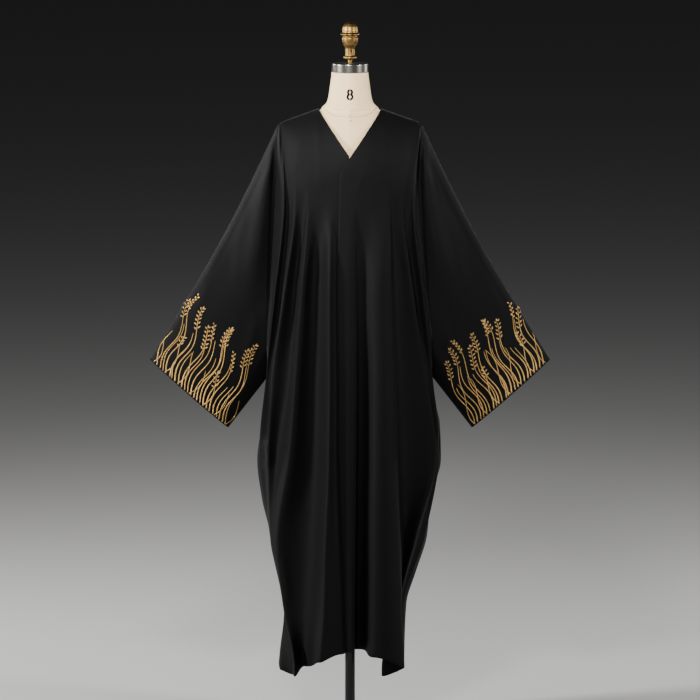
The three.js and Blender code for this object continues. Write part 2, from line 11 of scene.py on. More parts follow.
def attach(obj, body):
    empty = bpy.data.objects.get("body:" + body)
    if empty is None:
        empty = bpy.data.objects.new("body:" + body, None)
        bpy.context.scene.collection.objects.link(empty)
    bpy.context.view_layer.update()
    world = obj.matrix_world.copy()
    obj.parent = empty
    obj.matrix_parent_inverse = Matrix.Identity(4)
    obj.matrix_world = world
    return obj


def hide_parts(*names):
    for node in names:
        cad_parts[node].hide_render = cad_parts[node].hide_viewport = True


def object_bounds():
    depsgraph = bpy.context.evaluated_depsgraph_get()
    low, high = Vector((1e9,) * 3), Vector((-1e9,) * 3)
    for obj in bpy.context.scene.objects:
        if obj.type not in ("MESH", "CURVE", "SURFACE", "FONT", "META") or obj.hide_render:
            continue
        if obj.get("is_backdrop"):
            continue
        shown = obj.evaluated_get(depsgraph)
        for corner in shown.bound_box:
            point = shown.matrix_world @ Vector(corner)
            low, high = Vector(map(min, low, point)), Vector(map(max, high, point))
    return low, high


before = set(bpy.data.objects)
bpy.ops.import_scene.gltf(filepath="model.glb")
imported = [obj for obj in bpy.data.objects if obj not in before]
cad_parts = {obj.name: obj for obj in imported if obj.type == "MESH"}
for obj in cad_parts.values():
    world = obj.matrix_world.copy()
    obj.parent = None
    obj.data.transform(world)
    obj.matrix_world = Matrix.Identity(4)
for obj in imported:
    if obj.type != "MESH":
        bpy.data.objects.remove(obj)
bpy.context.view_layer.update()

MM = 0.001

# Sizes of the garment, in millimetres.
WALL = 1.5
SEAM_HALF_GAP = 0.2
NECK_POINT_X, NECK_POINT_Z = 81, 1620
V_POINT_Z = 1503
SHOULDER_SLOPE = 0.365
SHOULDER_TIP_X, SHOULDER_ROUND_FROM, SHOULDER_ROUND_DROP = 187, 169, 4.6
SHOULDER_ROUND = 190
BACK_NECK_DROP = 8
UNDERARM_Z = 920
SIDE_HEM_Z = 160
CHEST_HALF_WIDTH, CHEST_FRONT, CHEST_BACK = 205, 128, 112
FOLD_RUN_IN, EDGE_RUN_IN, EDGE_ABOVE = 230, 60, 4
LAP_STEP = 3.6
SIDE_SEAM_INSET = 4
CUFF_TOP, CUFF_BOTTOM = (520, 966), (317, 787)
CUFF_HALF_DEPTH, SLEEVE_BOW = 33, 15

# The levels of the guide lines: top, bust, waist, underarm, hip, thigh, knee and hem.
LEVELS = (1560, 1400, 1130, 940, 730, 500, 320, 160)
TOP, WAIST, HIP, HEM = LEVELS[0], LEVELS[2], LEVELS[4], LEVELS[-1]
FOLD_LEVELS = LEVELS[2:]

SIDES = {
    "z": (1616, 1400, 1130, 1000, 940, 900, 790, 700, 600, 500, 400, 320, 220, 150),
    "right": (205, 205, 228, 226, 218, 216, 233, 245, 233, 208, 184, 172, 180, 188),
    "left": (205, 205, 228, 226, 218, 217, 238, 240, 213, 203, 172, 148, 143, 142),
}
ARMHOLE = {
    "z": (1577, 1550, 1468, 1337, 1130, 1000, 950, 920),
    "right": (186, 188, 192, 199, 208, 216, 214, 213),
    "left": (186, 182, 175, 182, 199, 213, 213, 213),
    "depth": (0, 20, 33, 38, 38, 28, 11, 0.2),
}

# Guide lines of the front panels: name, start height, how far the cloth keeps the guide's direction
# (small on a sharp crest), x outward at each level, y forward from the waist level down, hem height.
SHARP, SOFT = 0.2, 0.4
CENTRE_FRONT = (131, 133, 136, 138, 140, 142)
UNDER_LAP = tuple(y - LAP_STEP for y in CENTRE_FRONT)
FRONT_RIGHT = (
    ("lap_edge", 1405, SOFT, (3, 3, 3, 2, 1, 0, -1, -2), UNDER_LAP, 221),
    ("lap_root", 1405, SOFT, (34, 34, 36, 36, 36, 30, 24, 22), UNDER_LAP, 212),
    ("fold_1", 1400, SHARP, (52, 50, 53, 53, 55, 63, 69, 80), (146, 150, 154, 157, 160, 165), 195),
    ("hollow_1", 1420, SOFT, (81, 80, 92, 94, 97, 105, 113, 118), (102, 98, 94, 90, 88, 88), 172),
    ("fold_2", 1430, SHARP, (112, 108, 126, 140, 157, 187, 171, 143), (122, 116, 112, 88, 78, 112), 149),
    ("hollow_2", 1445, SOFT, (126, 121, 144, 158, 188, 201, 172, 152), (88, 78, 62, 66, 50, 84), 150),
    ("fold_3", 1460, SHARP, (146, 141, 172, 198, 212, 207, 172, 182), (102, 78, 64, 50, 36, 66), 159),
    ("hollow_3", 1480, SOFT, (163, 159, 181, 205, 222, 208, 170, 184), (74, 50, 32, 34, 22, 44), 160),
    ("fold_4", 1560, SHARP, (176, 170, 196, 216, 235, 208, 171, 186), (84, 48, 18, 18, 12, 24), 160),
)
FRONT_LEFT = (
    ("edge", 1405, SOFT, (-19, -27, -31, -28, -27, -19, -12, -7), CENTRE_FRONT, 218),
    ("lap_root", 1405, SOFT, (8, 8, 8, 8, 7, 7, 7, 8), CENTRE_FRONT, 219),
    ("hollow_0", 1390, SOFT, (34, 26, 24, 26, 27, 26, 24, 24), (112, 104, 98, 92, 88, 88), 217),
    ("fold_1", 1400, SOFT, (81, 77, 72, 72, 69, 67, 66, 63), (138, 142, 146, 148, 150, 152), 206),
    ("fold_2", 1430, SHARP, (104, 102, 106, 112, 118, 127, 133, 142), (124, 125, 126, 122, 118, 115), 172),
    ("hollow_2", 1445, SOFT, (118, 110, 121, 129, 137, 142, 120, 84), (88, 80, 60, 42, 44, 62), 142),
    ("fold_3", 1440, SHARP, (140, 135, 165, 194, 224, 168, 130, 124), (94, 70, 50, 60, 36, 36), 148),
    ("hollow_3", 1450, SOFT, (150, 143, 171, 200, 224, 178, 128, 118), (70, 48, 28, 34, 24, 24), 152),
    ("fold_4", 1560, SHARP, (172, 162, 191, 212, 232, 194, 138, 130), (82, 46, 18, 20, 12, 12), 156),
)
COWL_LOW, COWL_LIP, COWL_HIGH, COWL_RUN, COWL_INWARD = 735, 35, 930, 110, 10

NECK_TURN = math.degrees(math.asin(NECK_POINT_X / CHEST_HALF_WIDTH))
BACK_TURN_LEVELS = (TOP, WAIST, HIP, HEM)
BACK_FOLDS = (
    ((12, 11, 10, 10), 1430),
    ((2 * NECK_TURN - 12, 31, 31, 31), 1450),
    ((46, 46, 52, 53), 1480),
    ((55, 57, 75, 76), 1540),
)
BACK_DEPTH = (118, 128, 134, 136, 138, 140)
BACK_CREST = (8, 10, 12, 13, 14, 15)
BACK_HOLLOW = (-9, -12, -18, -22, -24, -26)
BACK_HEM_CENTRE, BACK_HEM_WAVE = 192, 4
TOP_SEARCH_STEPS = 12


# The garment's surface.
def smooth(t):
    c = np.clip(t, 0.0, 1.0)
    return c * c * (3 - 2 * c)


def mix(a, b, t):
    return a + (b - a) * t


def unit(vectors):
    return vectors / np.maximum(np.linalg.norm(vectors, axis=-1, keepdims=True), 1e-9)


def curve(heights, values):
    """A curve through the values at the heights that never overshoots them, flat past both ends."""
    order = np.argsort(heights)
    zs = np.array(heights, float)[order]
    vs = np.array(values, float)[order]
    slopes = np.diff(vs) / np.diff(zs)
    tangents = np.zeros(len(zs))
    for i in range(1, len(zs) - 1):
        if slopes[i - 1] * slopes[i] > 0:
            tangents[i] = 2 * slopes[i - 1] * slopes[i] / (slopes[i - 1] + slopes[i])

    def at(z):
        h = np.clip(z, zs[0], zs[-1])
        i = np.clip(np.searchsorted(zs, h, "right") - 1, 0, len(zs) - 2)
        span = zs[i + 1] - zs[i]
        t = (h - zs[i]) / span
        low = t * (1 - t) * (1 - t) * span * tangents[i]
        high = t * t * (t - 1) * span * tangents[i + 1]
        return mix(vs[i], vs[i + 1], t * t * (3 - 2 * t)) + low + high

    return at


half_width = {side: curve(SIDES["z"], SIDES[side]) for side in ("right", "left")}
armhole_x = {side: curve(ARMHOLE["z"], ARMHOLE[side]) for side in ("right", "left")}
armhole_depth = curve(ARMHOLE["z"], ARMHOLE["depth"])


def shoulder_z(x):
    out = np.abs(x)
    bent = np.maximum(out - SHOULDER_ROUND_FROM, 0) / (SHOULDER_TIP_X - SHOULDER_ROUND_FROM)
    return NECK_POINT_Z + (NECK_POINT_X - out) * SHOULDER_SLOPE - SHOULDER_ROUND_DROP * bent * bent


TIP_Z = float(shoulder_z(SHOULDER_TIP_X))


def front_neckline_z(x):
    return V_POINT_Z + x * (NECK_POINT_Z - V_POINT_Z) / NECK_POINT_X


def back_neckline_z(x):
    return NECK_POINT_Z - BACK_NECK_DROP * (1 - (x / NECK_POINT_X) ** 2)


def chest_depth(x, z, depth):
    across = np.sqrt(np.maximum(0, 1 - (x / CHEST_HALF_WIDTH) ** 2))
    down = np.clip((shoulder_z(x) - z) / SHOULDER_ROUND, 0, 1)
    return depth * across * np.sqrt(2 * down - down * down)


def side_edge(side, z):
    above = z > UNDERARM_Z
    x = np.where(above, armhole_x[side](z), half_width[side](z) - SIDE_SEAM_INSET)
    return x, np.where(above, armhole_depth(z), SEAM_HALF_GAP)


def edge_weight(z):
    return smooth((TIP_Z + EDGE_ABOVE - z) / EDGE_RUN_IN)


def front_guides(rows, side):
    guides = []
    for name, start, turn, xs, ys, hem in rows:
        x, y = curve(LEVELS, xs), curve(FOLD_LEVELS, ys)
        pressed = COWL_INWARD if name == "hollow_3" else 0

        def at(z, x=x, y=y, pressed=pressed):
            cowl = smooth((z - COWL_LOW) / COWL_LIP) * smooth((COWL_HIGH - z) / COWL_RUN)
            return x(z) - pressed * cowl, y(z)

        guides.append((at, lambda z, start=start: smooth((start - z) / FOLD_RUN_IN), hem, turn))
    guides.append((lambda z: side_edge(side, z), edge_weight, SIDE_HEM_Z, SOFT))
    return guides


def back_guides():
    depth, crest, hollow = (curve(FOLD_LEVELS, v) for v in (BACK_DEPTH, BACK_CREST, BACK_HOLLOW))

    def guide(turn_at, rise, start, wave):
        def at(z):
            turn = turn_at(z)
            width = np.where(turn < 0, half_width["right"](z), half_width["left"](z))
            return (width + rise(z) - crest(z)) * np.sin(turn), (depth(z) + rise(z)) * np.cos(turn)

        hem = BACK_HEM_CENTRE + wave - (BACK_HEM_CENTRE - SIDE_HEM_Z) * math.sin(turn_at(HEM)) ** 2
        return at, lambda z: smooth((start - z) / FOLD_RUN_IN), hem, SOFT

    half = [(curve(BACK_TURN_LEVELS, np.radians(turns)), start) for turns, start in BACK_FOLDS]
    folds = [(lambda z, f=f: -f(z), start) for f, start in reversed(half)] + half

    def edge(sign, side):
        def at(z):
            x, y = side_edge(side, z)
            return sign * x, y

        return at, edge_weight, SIDE_HEM_Z, SOFT

    guides = [edge(-1, "right")]
    for i, (turn, start) in enumerate(folds):
        guides.append(guide(turn, crest, start, -BACK_HEM_WAVE))
        if i + 1 < len(folds):
            following, next_start = folds[i + 1]
            guides.append(guide(lambda z, a=turn, b=following: (a(z) + b(z)) / 2, hollow,
                                max(start, next_start), BACK_HEM_WAVE))
    guides.append(edge(1, "left"))
    return guides


def plan_point(guides, s, z):
    """x, y, weight of the folds and hem height at guide number s and heights z."""
    k = min(int(s), len(guides) - 2)
    t = s - k
    from_x, from_y = guides[k][0](z)
    to_x, to_y = guides[k + 1][0](z)
    before_x, before_y = guides[k - 1][0](z) if k > 0 else (from_x, from_y)
    after_x, after_y = guides[k + 2][0](z) if k + 2 < len(guides) else (to_x, to_y)
    chord = np.hypot(to_x - from_x, to_y - from_y)
    leave_reach, arrive_reach = chord * guides[k][3], chord * guides[k + 1][3]

    def heading(ax, ay, bx, by):
        length = np.hypot(bx - ax, by - ay)
        length = np.where(length == 0, 1, length)
        return (bx - ax) / length, (by - ay) / length

    leave = heading(before_x, before_y, to_x, to_y)
    arrive = heading(from_x, from_y, after_x, after_y)

    def bezier(a, b, da, db):
        r = 1 - t
        return (r ** 3 * a + 3 * r * r * t * (a + da * leave_reach)
                + 3 * r * t * t * (b - db * arrive_reach) + t ** 3 * b)

    weight = mix(guides[k][1](z), guides[k + 1][1](z), smooth(t))
    hem = mix(guides[k][2], guides[k + 1][2], smooth(t))
    x = bezier(from_x, to_x, leave[0], arrive[0])
    y = bezier(from_y, to_y, leave[1], arrive[1])
    return x, y, weight, hem


class Panel:
    """A body panel: sign is the side of the panel's x, forward -1 for a front and 1 for the back."""

    def __init__(self, guides, sign, forward, depth, top_edge):
        self.guides, self.top_edge = guides, top_edge
        self.sign, self.forward, self.depth = sign, forward, depth

    def plan(self, s, z):
        x, y, weight, _ = plan_point(self.guides, s, z)
        y = mix(chest_depth(x, z, self.depth), y, weight)
        return np.stack([self.sign * x, self.forward * np.maximum(y, SEAM_HALF_GAP), z], -1)

    def column(self, s, shares):
        top = np.array([TIP_Z])
        for _ in range(TOP_SEARCH_STEPS):
            top = np.array([self.top_edge(plan_point(self.guides, s, top)[0][0])])
        hem = plan_point(self.guides, s, np.array([HEM]))[3]
        return self.plan(s, mix(top[0], hem, np.asarray(shares, float)))


def front_top(x):
    return min(front_neckline_z(abs(x)), shoulder_z(x))


def overlap_top(x):
    return min(front_neckline_z(x), shoulder_z(x))


def back_top(x):
    return back_neckline_z(x) if abs(x) < NECK_POINT_X else shoulder_z(x)


panels = {
    "front_right": Panel(front_guides(FRONT_RIGHT, "right"), -1, -1, CHEST_FRONT - LAP_STEP, front_top),
    "front_left": Panel(front_guides(FRONT_LEFT, "left"), 1, -1, CHEST_FRONT, overlap_top),
    "back": Panel(back_guides(), 1, 1, CHEST_BACK, back_top),
}


# The wall of a cloth piece, from a grid[column][row] of points on its outer face.
EDGE_BULGE = 0.42
CREASE_FADE, CREASE_SIDE_RUN = 0.25, 6


def grid_faces(columns, rows, ring=False):
    """Four-sided faces of a grid[column][row]. A ring's last column joins its first."""
    faces = []
    for i in range(columns if ring else columns - 1):
        n = (i + 1) % columns
        faces += [(i * rows + j, n * rows + j, n * rows + j + 1, i * rows + j + 1) for j in range(rows - 1)]
    return faces


def ring_faces(rings, sides, closed=False, flip=False, capped=True):
    """Faces between rings of points and over both ends. closed joins the last ring to the first instead."""
    faces = []
    for ring in range(rings if closed else rings - 1):
        low, high = ring * sides, (ring + 1) % rings * sides
        for k in range(sides):
            n = (k + 1) % sides
            face = (low + k, low + n, high + n, high + k)
            faces.append((low + k, high + k, high + n, low + n) if flip else face)
    if capped and not closed:
        last, step = (rings - 1) * sides, 1 if flip else -1
        faces.append(tuple(range(sides))[::step])
        faces.append(tuple(range(last, last + sides))[::-step])
    return faces


def grid_normals(grid, outward, ring):
    if ring:
        across = np.roll(grid, -1, 0) - np.roll(grid, 1, 0)
    else:
        across = np.concatenate([grid[1:], grid[-1:]]) - np.concatenate([grid[:1], grid[:-1]])
    below = np.concatenate([grid[:, 1:], grid[:, -1:]], 1)
    above = np.concatenate([grid[:, :1], grid[:, :-1]], 1)
    return unit(np.cross(across, below - above) * outward)


def make_object(name, vertices, faces, material, uv=None):
    mesh = bpy.data.meshes.new(name)
    mesh.from_pydata([tuple(v) for v in np.asarray(vertices) * MM], [], faces)
    mesh.update()
    mesh.polygons.foreach_set("use_smooth", [True] * len(mesh.polygons))
    if uv is not None:
        layer = mesh.uv_layers.new(name="UVMap")
        loops = np.zeros(len(mesh.loops), int)
        mesh.loops.foreach_get("vertex_index", loops)
        layer.data.foreach_set("uv", np.asarray(uv, float)[loops].ravel())
    obj = bpy.data.objects.new(name, mesh)
    bpy.context.scene.collection.objects.link(obj)
    mesh.materials.append(material)
    return obj


def wall(name, grid, normals, outward, ring=False, open_front=False):
    """Its lower edge is finished and so rounded, and its first column too where the front opens there."""
    columns, rows = grid.shape[:2]
    outer = grid.reshape(-1, 3)
    inner = outer - normals.reshape(-1, 3) * WALL
    vertices = [outer, inner]
    half = columns * rows
    faces = []

    def quad(a, b, c, d):
        faces.append((a, b, c, d) if outward > 0 else (a, d, c, b))

    for a, b, c, d in grid_faces(columns, rows, ring):
        quad(a, b, c, d)
        quad(half + a, half + d, half + c, half + b)

    def strip(ids, inside=None, closed=False):
        """Joins outer edge ids to the inner ones, over a rounded middle where inside is given."""
        chain = [ids, ids + half]
        if inside is not None:
            chain.insert(1, np.arange(len(ids)) + sum(len(part) for part in vertices))
            away = unit(outer[ids] - outer[inside])
            vertices.append((outer[ids] + inner[ids]) / 2 + away * WALL * EDGE_BULGE)
        for near, far in zip(chain, chain[1:]):
            for k in range(len(ids) if closed else len(ids) - 1):
                m = (k + 1) % len(ids)
                quad(int(near[k]), int(far[k]), int(far[m]), int(near[m]))

    top = np.arange(columns) * rows
    bottom = (top + rows - 1)[::-1]
    strip(top, closed=ring)
    strip(bottom, bottom - 1, ring)
    if not ring:
        first = np.arange(rows)[::-1]
        strip(first, first + rows if open_front else None)
        strip(half - rows + np.arange(rows))
    return make_object(name, np.concatenate(vertices), faces, crepe)


def crease(grid, normals, path, height, width, sides=None):
    """Raises (or sinks) a soft ridge along a path of (x, z) points, fading out at both ends.
    sides limits it to the front (-1) or back (1) of a tube."""
    path = np.array(path, float)
    flat = grid[..., [0, 2]]
    steps = np.linalg.norm(np.diff(path, axis=0), axis=1)
    total = steps.sum()
    best = np.full(flat.shape[:2], 1e9)
    along = np.zeros(flat.shape[:2])
    done = 0.0
    for a, b, step in zip(path, path[1:], steps):
        t = np.clip(((flat - a) @ (b - a)) / step ** 2, 0, 1)
        distance = np.linalg.norm(flat - (a + t[..., None] * (b - a)), axis=-1)
        closer = distance < best
        best = np.where(closer, distance, best)
        along = np.where(closer, (done + t * step) / total, along)
        done += step
    ends = smooth(along / CREASE_FADE) * smooth((1 - along) / CREASE_FADE)
    amount = height * np.exp(-(best / width) ** 2) * ends
    if sides is not None:
        amount = amount * smooth(sides * grid[..., 1] / CREASE_SIDE_RUN)
    return grid + normals * amount[..., None]


def fine_rows(count, power):
    return (np.arange(count + 1) / count) ** power


def panel_grid(panel, per_guide, rows):
    last = len(panel.guides) - 1
    stations = [k + i / per_guide for k in range(last) for i in range(per_guide)] + [last]
    return np.stack([panel.column(s, rows) for s in stations])


TIP_LEAN = 0.6
SEAM_TURN_RUN = 30


def seam_normal(normals, grid, sign, forward, column):
    """The direction through the cloth along the armhole and side seams, shared by both pieces there."""
    z = grid[column, :, 2]
    armhole = np.array([0.0, forward, 0.0])
    side = np.array([sign, 0.0, 0.0])
    t = smooth((UNDERARM_Z + SEAM_TURN_RUN - z) / SEAM_TURN_RUN)[:, None]
    normals[column] = unit(armhole * (1 - t) + side * t)
    normals[column, 0] = unit(np.array([sign * TIP_LEAN, 0.0, 1.0]))


# The sleeves.
CREST_OFFSET, CREST_SPREAD, CREST_RISE, CREST_WIDTH, CREST_WIDEN = 13, 0.095, 17, 10, 0.08
CREST_FADE_FROM, CREST_FADE_TO, CREST_RUN_IN = 1270, 1030, 40
CREST_FROM_ARMHOLE, CREST_FROM_TOP = 0.06, 0.12
SLEEVE_SHIFT = 0.6
SLEEVE_FULLNESS = 0.6
SLEEVE_FRONT_ROWS, SLEEVE_FRONT_POWER = 64, 1.35
SLEEVE_LENGTH_ROWS, SLEEVE_LENGTH_POWER = 96, 1.25


def sleeve_grid(sign):
    front = panels["front_left" if sign > 0 else "front_right"]
    back = panels["back"]
    underarm_share = (TIP_Z - UNDERARM_Z) / (TIP_Z - SIDE_HEM_Z)
    shares = underarm_share * fine_rows(SLEEVE_FRONT_ROWS, SLEEVE_FRONT_POWER)
    front_edge = front.column(len(front.guides) - 1, shares)
    back_edge = back.column(len(back.guides) - 1 if sign > 0 else 0, shares)
    ring = np.concatenate([front_edge, back_edge[1:-1][::-1]])
    ring[0, 1] = 0
    ring[SLEEVE_FRONT_ROWS, 1] = 0
    height = ring[0, 2] - ring[SLEEVE_FRONT_ROWS, 2]
    share = ((ring[0, 2] - ring[:, 2]) / height)[:, None]
    v = fine_rows(SLEEVE_LENGTH_ROWS, SLEEVE_LENGTH_POWER)[None, :]
    face = np.sign(ring[:, 1])[:, None]
    depth = face * CUFF_HALF_DEPTH * np.sin(np.pi * np.clip(share, 0, 1)) ** SLEEVE_FULLNESS
    end = np.concatenate([sign * mix(CUFF_TOP[0], CUFF_BOTTOM[0], share), depth,
                          mix(CUFF_TOP[1], CUFF_BOTTOM[1], share)], 1)
    grid = ring[:, None, :] * (1 - v[..., None]) + end[:, None, :] * v[..., None]
    grid[..., 0] += sign * (SLEEVE_SHIFT * (1 - v) - SLEEVE_BOW * (1 - share) * np.sin(np.pi * v))
    below = np.maximum(TOP - grid[..., 2], 0)
    armhole = armhole_x["left" if sign > 0 else "right"](grid[..., 2])
    crest_x = armhole + CREST_OFFSET + CREST_SPREAD * below
    near = (np.abs(grid[..., 0]) - crest_x) / (CREST_WIDTH + CREST_WIDEN * below)
    fade = smooth((grid[..., 2] - CREST_FADE_TO) / (CREST_FADE_FROM - CREST_FADE_TO))
    fade = fade * smooth(below / CREST_RUN_IN)
    opened = smooth(v / CREST_FROM_ARMHOLE) * smooth(share / CREST_FROM_TOP)
    grid[..., 1] += face * CREST_RISE * fade * opened * np.exp(-near * near)
    return grid


# Materials.
def set_inputs(node, values):
    for name, value in values.items():
        node.inputs[name].default_value = value


def new_material(name, color, roughness, metallic=0.0, specular=0.5):
    material = bpy.data.materials.new(name)
    material.use_nodes = True
    shader = material.node_tree.nodes["Principled BSDF"]
    set_inputs(shader, {"Base Color": (*color, 1), "Roughness": roughness, "Metallic": metallic,
                        "Specular IOR Level": specular})
    return material, material.node_tree, shader


def add_noise(tree, scale, detail=3.0, stretch=(1, 1, 1)):
    coordinates = tree.nodes.new("ShaderNodeTexCoord")
    mapping = tree.nodes.new("ShaderNodeMapping")
    mapping.inputs["Scale"].default_value = stretch
    noise = tree.nodes.new("ShaderNodeTexNoise")
    set_inputs(noise, {"Scale": scale, "Detail": detail})
    tree.links.new(coordinates.outputs["Object"], mapping.inputs["Vector"])
    tree.links.new(mapping.outputs["Vector"], noise.inputs["Vector"])
    return noise.outputs["Fac"]


def add_bump(tree, shader, height, strength, distance):
    bump = tree.nodes.new("ShaderNodeBump")
    set_inputs(bump, {"Strength": strength, "Distance": distance})
    tree.links.new(height, bump.inputs["Height"])
    tree.links.new(bump.outputs["Normal"], shader.inputs["Normal"])


def add_ramp(tree, value, low, high, target):
    ramp = tree.nodes.new("ShaderNodeMapRange")
    set_inputs(ramp, {"To Min": low, "To Max": high})
    tree.links.new(value, ramp.inputs["Value"])
    tree.links.new(ramp.outputs["Result"], target)


def crepe_material():
    material, tree, shader = new_material("crepe", (0.0038, 0.0038, 0.0039), roughness=0.6, specular=0.088)
    set_inputs(shader, {"Sheen Weight": 0.05, "Sheen Roughness": 0.3, "Sheen Tint": (0.85, 0.87, 0.92, 1)})
    grain = add_noise(tree, scale=1500, detail=2.0, stretch=(1, 1, 0.55))
    patches = add_noise(tree, scale=9, detail=3.0)
    add_ramp(tree, patches, low=0.58, high=0.68, target=shader.inputs["Roughness"])
    add_bump(tree, shader, grain, strength=0.22, distance=0.0003)
    return material


def linen_material():
    material, tree, shader = new_material("linen", (0.84, 0.64, 0.40), roughness=0.82, specular=0.2)
    shader.inputs["Sheen Weight"].default_value = 0.15
    mix_node = tree.nodes.new("ShaderNodeMix")
    mix_node.data_type = "RGBA"
    set_inputs(mix_node, {"A": (0.96, 0.68, 0.36, 1), "B": (1.0, 0.755, 0.44, 1)})
    tree.links.new(add_noise(tree, scale=60, detail=5.0), mix_node.inputs["Factor"])
    tree.links.new(mix_node.outputs["Result"], shader.inputs["Base Color"])
    weave = tree.nodes.new("ShaderNodeMath")
    weave.operation = "ADD"
    for thread, stretch in enumerate(((1, 1, 0.12), (0.12, 0.12, 1))):
        tree.links.new(add_noise(tree, scale=900, detail=1.0, stretch=stretch), weave.inputs[thread])
    add_bump(tree, shader, weave.outputs[0], strength=0.3, distance=0.0004)
    return material


def metal_material(name, color, roughness, spread, metallic=1.0, stretch=(1, 1, 1), scale=40):
    material, tree, shader = new_material(name, color, roughness, metallic)
    patches = add_noise(tree, scale, detail=4.0, stretch=stretch)
    add_ramp(tree, patches, roughness - spread, roughness + spread, shader.inputs["Roughness"])
    return material


def color_ramp(tree, value, shader, *stops):
    """Colours the shader by two stops, each a position and a colour."""
    ramp = tree.nodes.new("ShaderNodeValToRGB")
    for element, (position, color) in zip(ramp.color_ramp.elements, stops):
        element.position = position
        element.color = (*color, 1)
    tree.links.new(value, ramp.inputs["Fac"])
    tree.links.new(ramp.outputs["Color"], shader.inputs["Base Color"])


def brass_material():
    material, tree, shader = new_material("aged_brass", (0.40, 0.26, 0.10), roughness=0.36, metallic=1.0)
    color_ramp(tree, add_noise(tree, scale=85, detail=6.0), shader,
               (0.34, (0.13, 0.075, 0.022)), (0.6, (0.29, 0.175, 0.055)))
    patches = add_noise(tree, scale=130, detail=4.0)
    add_ramp(tree, patches, low=0.36, high=0.48, target=shader.inputs["Roughness"])
    return material


def thread_material():
    material, tree, shader = new_material("gold_thread", (0.80, 0.44, 0.11), roughness=0.38, metallic=0.92)
    shader.inputs["Sheen Weight"].default_value = 0.25
    coordinates = tree.nodes.new("ShaderNodeTexCoord")
    wave = tree.nodes.new("ShaderNodeTexWave")
    wave.wave_type = "BANDS"
    wave.bands_direction = "DIAGONAL"
    set_inputs(wave, {"Scale": 1.0, "Distortion": 0.4})
    tree.links.new(coordinates.outputs["UV"], wave.inputs["Vector"])
    add_bump(tree, shader, wave.outputs["Fac"], strength=0.5, distance=0.0004)
    color_ramp(tree, add_noise(tree, scale=110, detail=3.0), shader,
               (0.0, (0.34, 0.185, 0.045)), (1.0, (0.92, 0.58, 0.18)))
    return material


crepe = crepe_material()
linen = linen_material()
gold_thread = thread_material()
brass = brass_material()
steel = metal_material("brushed_steel", (0.35, 0.33, 0.30), roughness=0.26, spread=0.012,
                       stretch=(0.02, 0.02, 1), scale=500)
dark_steel = metal_material("black_steel", (0.018, 0.018, 0.02), roughness=0.34, spread=0.06, metallic=0.5)
dark_iron = metal_material("black_iron", (0.02, 0.02, 0.022), roughness=0.5, spread=0.08, metallic=0.4)
ink = new_material("black_ink", (0.004, 0.004, 0.004), roughness=0.8, specular=0.05)[0]
# A darker linen for the neck seam: its colour is painted shade standing in for the shade inside the seam's
# groove.
seam_shade_linen = new_material("linen_painted_seam_shade", (0.50, 0.37, 0.23), roughness=0.9, specular=0.1)[0]


def fit(piece, slot, *nodes):
    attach(piece, "root")
    if nodes:
        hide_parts(*nodes)
    return piece


# The body of the garment.
FRONT_COLUMNS, BACK_COLUMNS = 12, 9
ROW_POWER = 1.35
FRONT_ROWS = fine_rows(170, ROW_POWER)
BACK_ROWS = fine_rows(150, ROW_POWER)
NECK_POINT_REACH = 0.01


def body_panel(name, per_guide, rows, outward, forward, seams, creases, open_front=False):
    grid = panel_grid(panels[name], per_guide, rows)
    for path, height, width in creases:
        grid = crease(grid, grid_normals(grid, outward, False), path, height, width)
    normals = grid_normals(grid, outward, False)
    for sign, column in seams:
        seam_normal(normals, grid, sign, forward, column)
    on_shoulder = np.abs(grid[:, 0, 0]) >= NECK_POINT_X - NECK_POINT_REACH
    normals[on_shoulder, 0, 1] = 0
    normals[on_shoulder, 0] = unit(normals[on_shoulder, 0])
    return fit(wall(name + "_cloth", grid, normals, outward, open_front=open_front), "crepe", name)


# Creases listed for each piece: a path of (x, z) points, its height and its half width.
FRONT_RIGHT_CREASES = (
    (((-83, 1606), (-79, 1545), (-75, 1470), (-76, 1400)), 1.5, 10),
    (((-224, 768), (-210, 721), (-211, 706), (-241, 664)), 3.0, 6),
    (((-216, 690), (-222, 676), (-232, 662)), 1.8, 5),
    (((-120, 1560), (-135, 1500), (-158, 1430)), 0.9, 12),
    (((-60, 640), (-66, 520), (-72, 400)), 1.2, 9),
    (((-178, 470), (-166, 400), (-160, 318)), 1.6, 9),
)
FRONT_LEFT_CREASES = (
    (((84, 1604), (92, 1540), (96, 1462)), 1.2, 11),
    (((226, 790), (236, 738), (224, 690)), -2.4, 7),
    (((212, 700), (206, 650), (190, 596)), 1.7, 8),
    (((40, 1480), (24, 1430), (6, 1400)), 0.7, 10),
    (((46, 700), (50, 560), (44, 430)), 1.1, 10),
    (((150, 480), (138, 400), (128, 330)), 1.4, 8),
)
BACK_CREASES = (
    (((-62, 1570), (-84, 1440), (-92, 1290)), 1.6, 14),
    (((58, 1556), (66, 1420), (58, 1250)), 1.3, 12),
    (((-190, 1120), (-160, 1010), (-166, 900)), 2.0, 10),
    (((196, 1060), (170, 960), (178, 850)), 1.7, 9),
    (((-20, 1080), (-28, 900), (-18, 700)), 1.4, 12),
    (((96, 700), (110, 560), (104, 420)), 1.5, 10),
    (((-130, 560), (-120, 440), (-128, 320)), 1.3, 9),
)
front_right = body_panel("front_right", FRONT_COLUMNS, FRONT_ROWS, outward=1, forward=-1, seams=[(-1, -1)],
                         creases=FRONT_RIGHT_CREASES, open_front=True)
front_left = body_panel("front_left", FRONT_COLUMNS, FRONT_ROWS, outward=-1, forward=-1, seams=[(1, -1)],
                        creases=FRONT_LEFT_CREASES, open_front=True)
back = body_panel("back", BACK_COLUMNS, BACK_ROWS, outward=1, forward=1, seams=[(-1, 0), (1, -1)],
                  creases=BACK_CREASES)


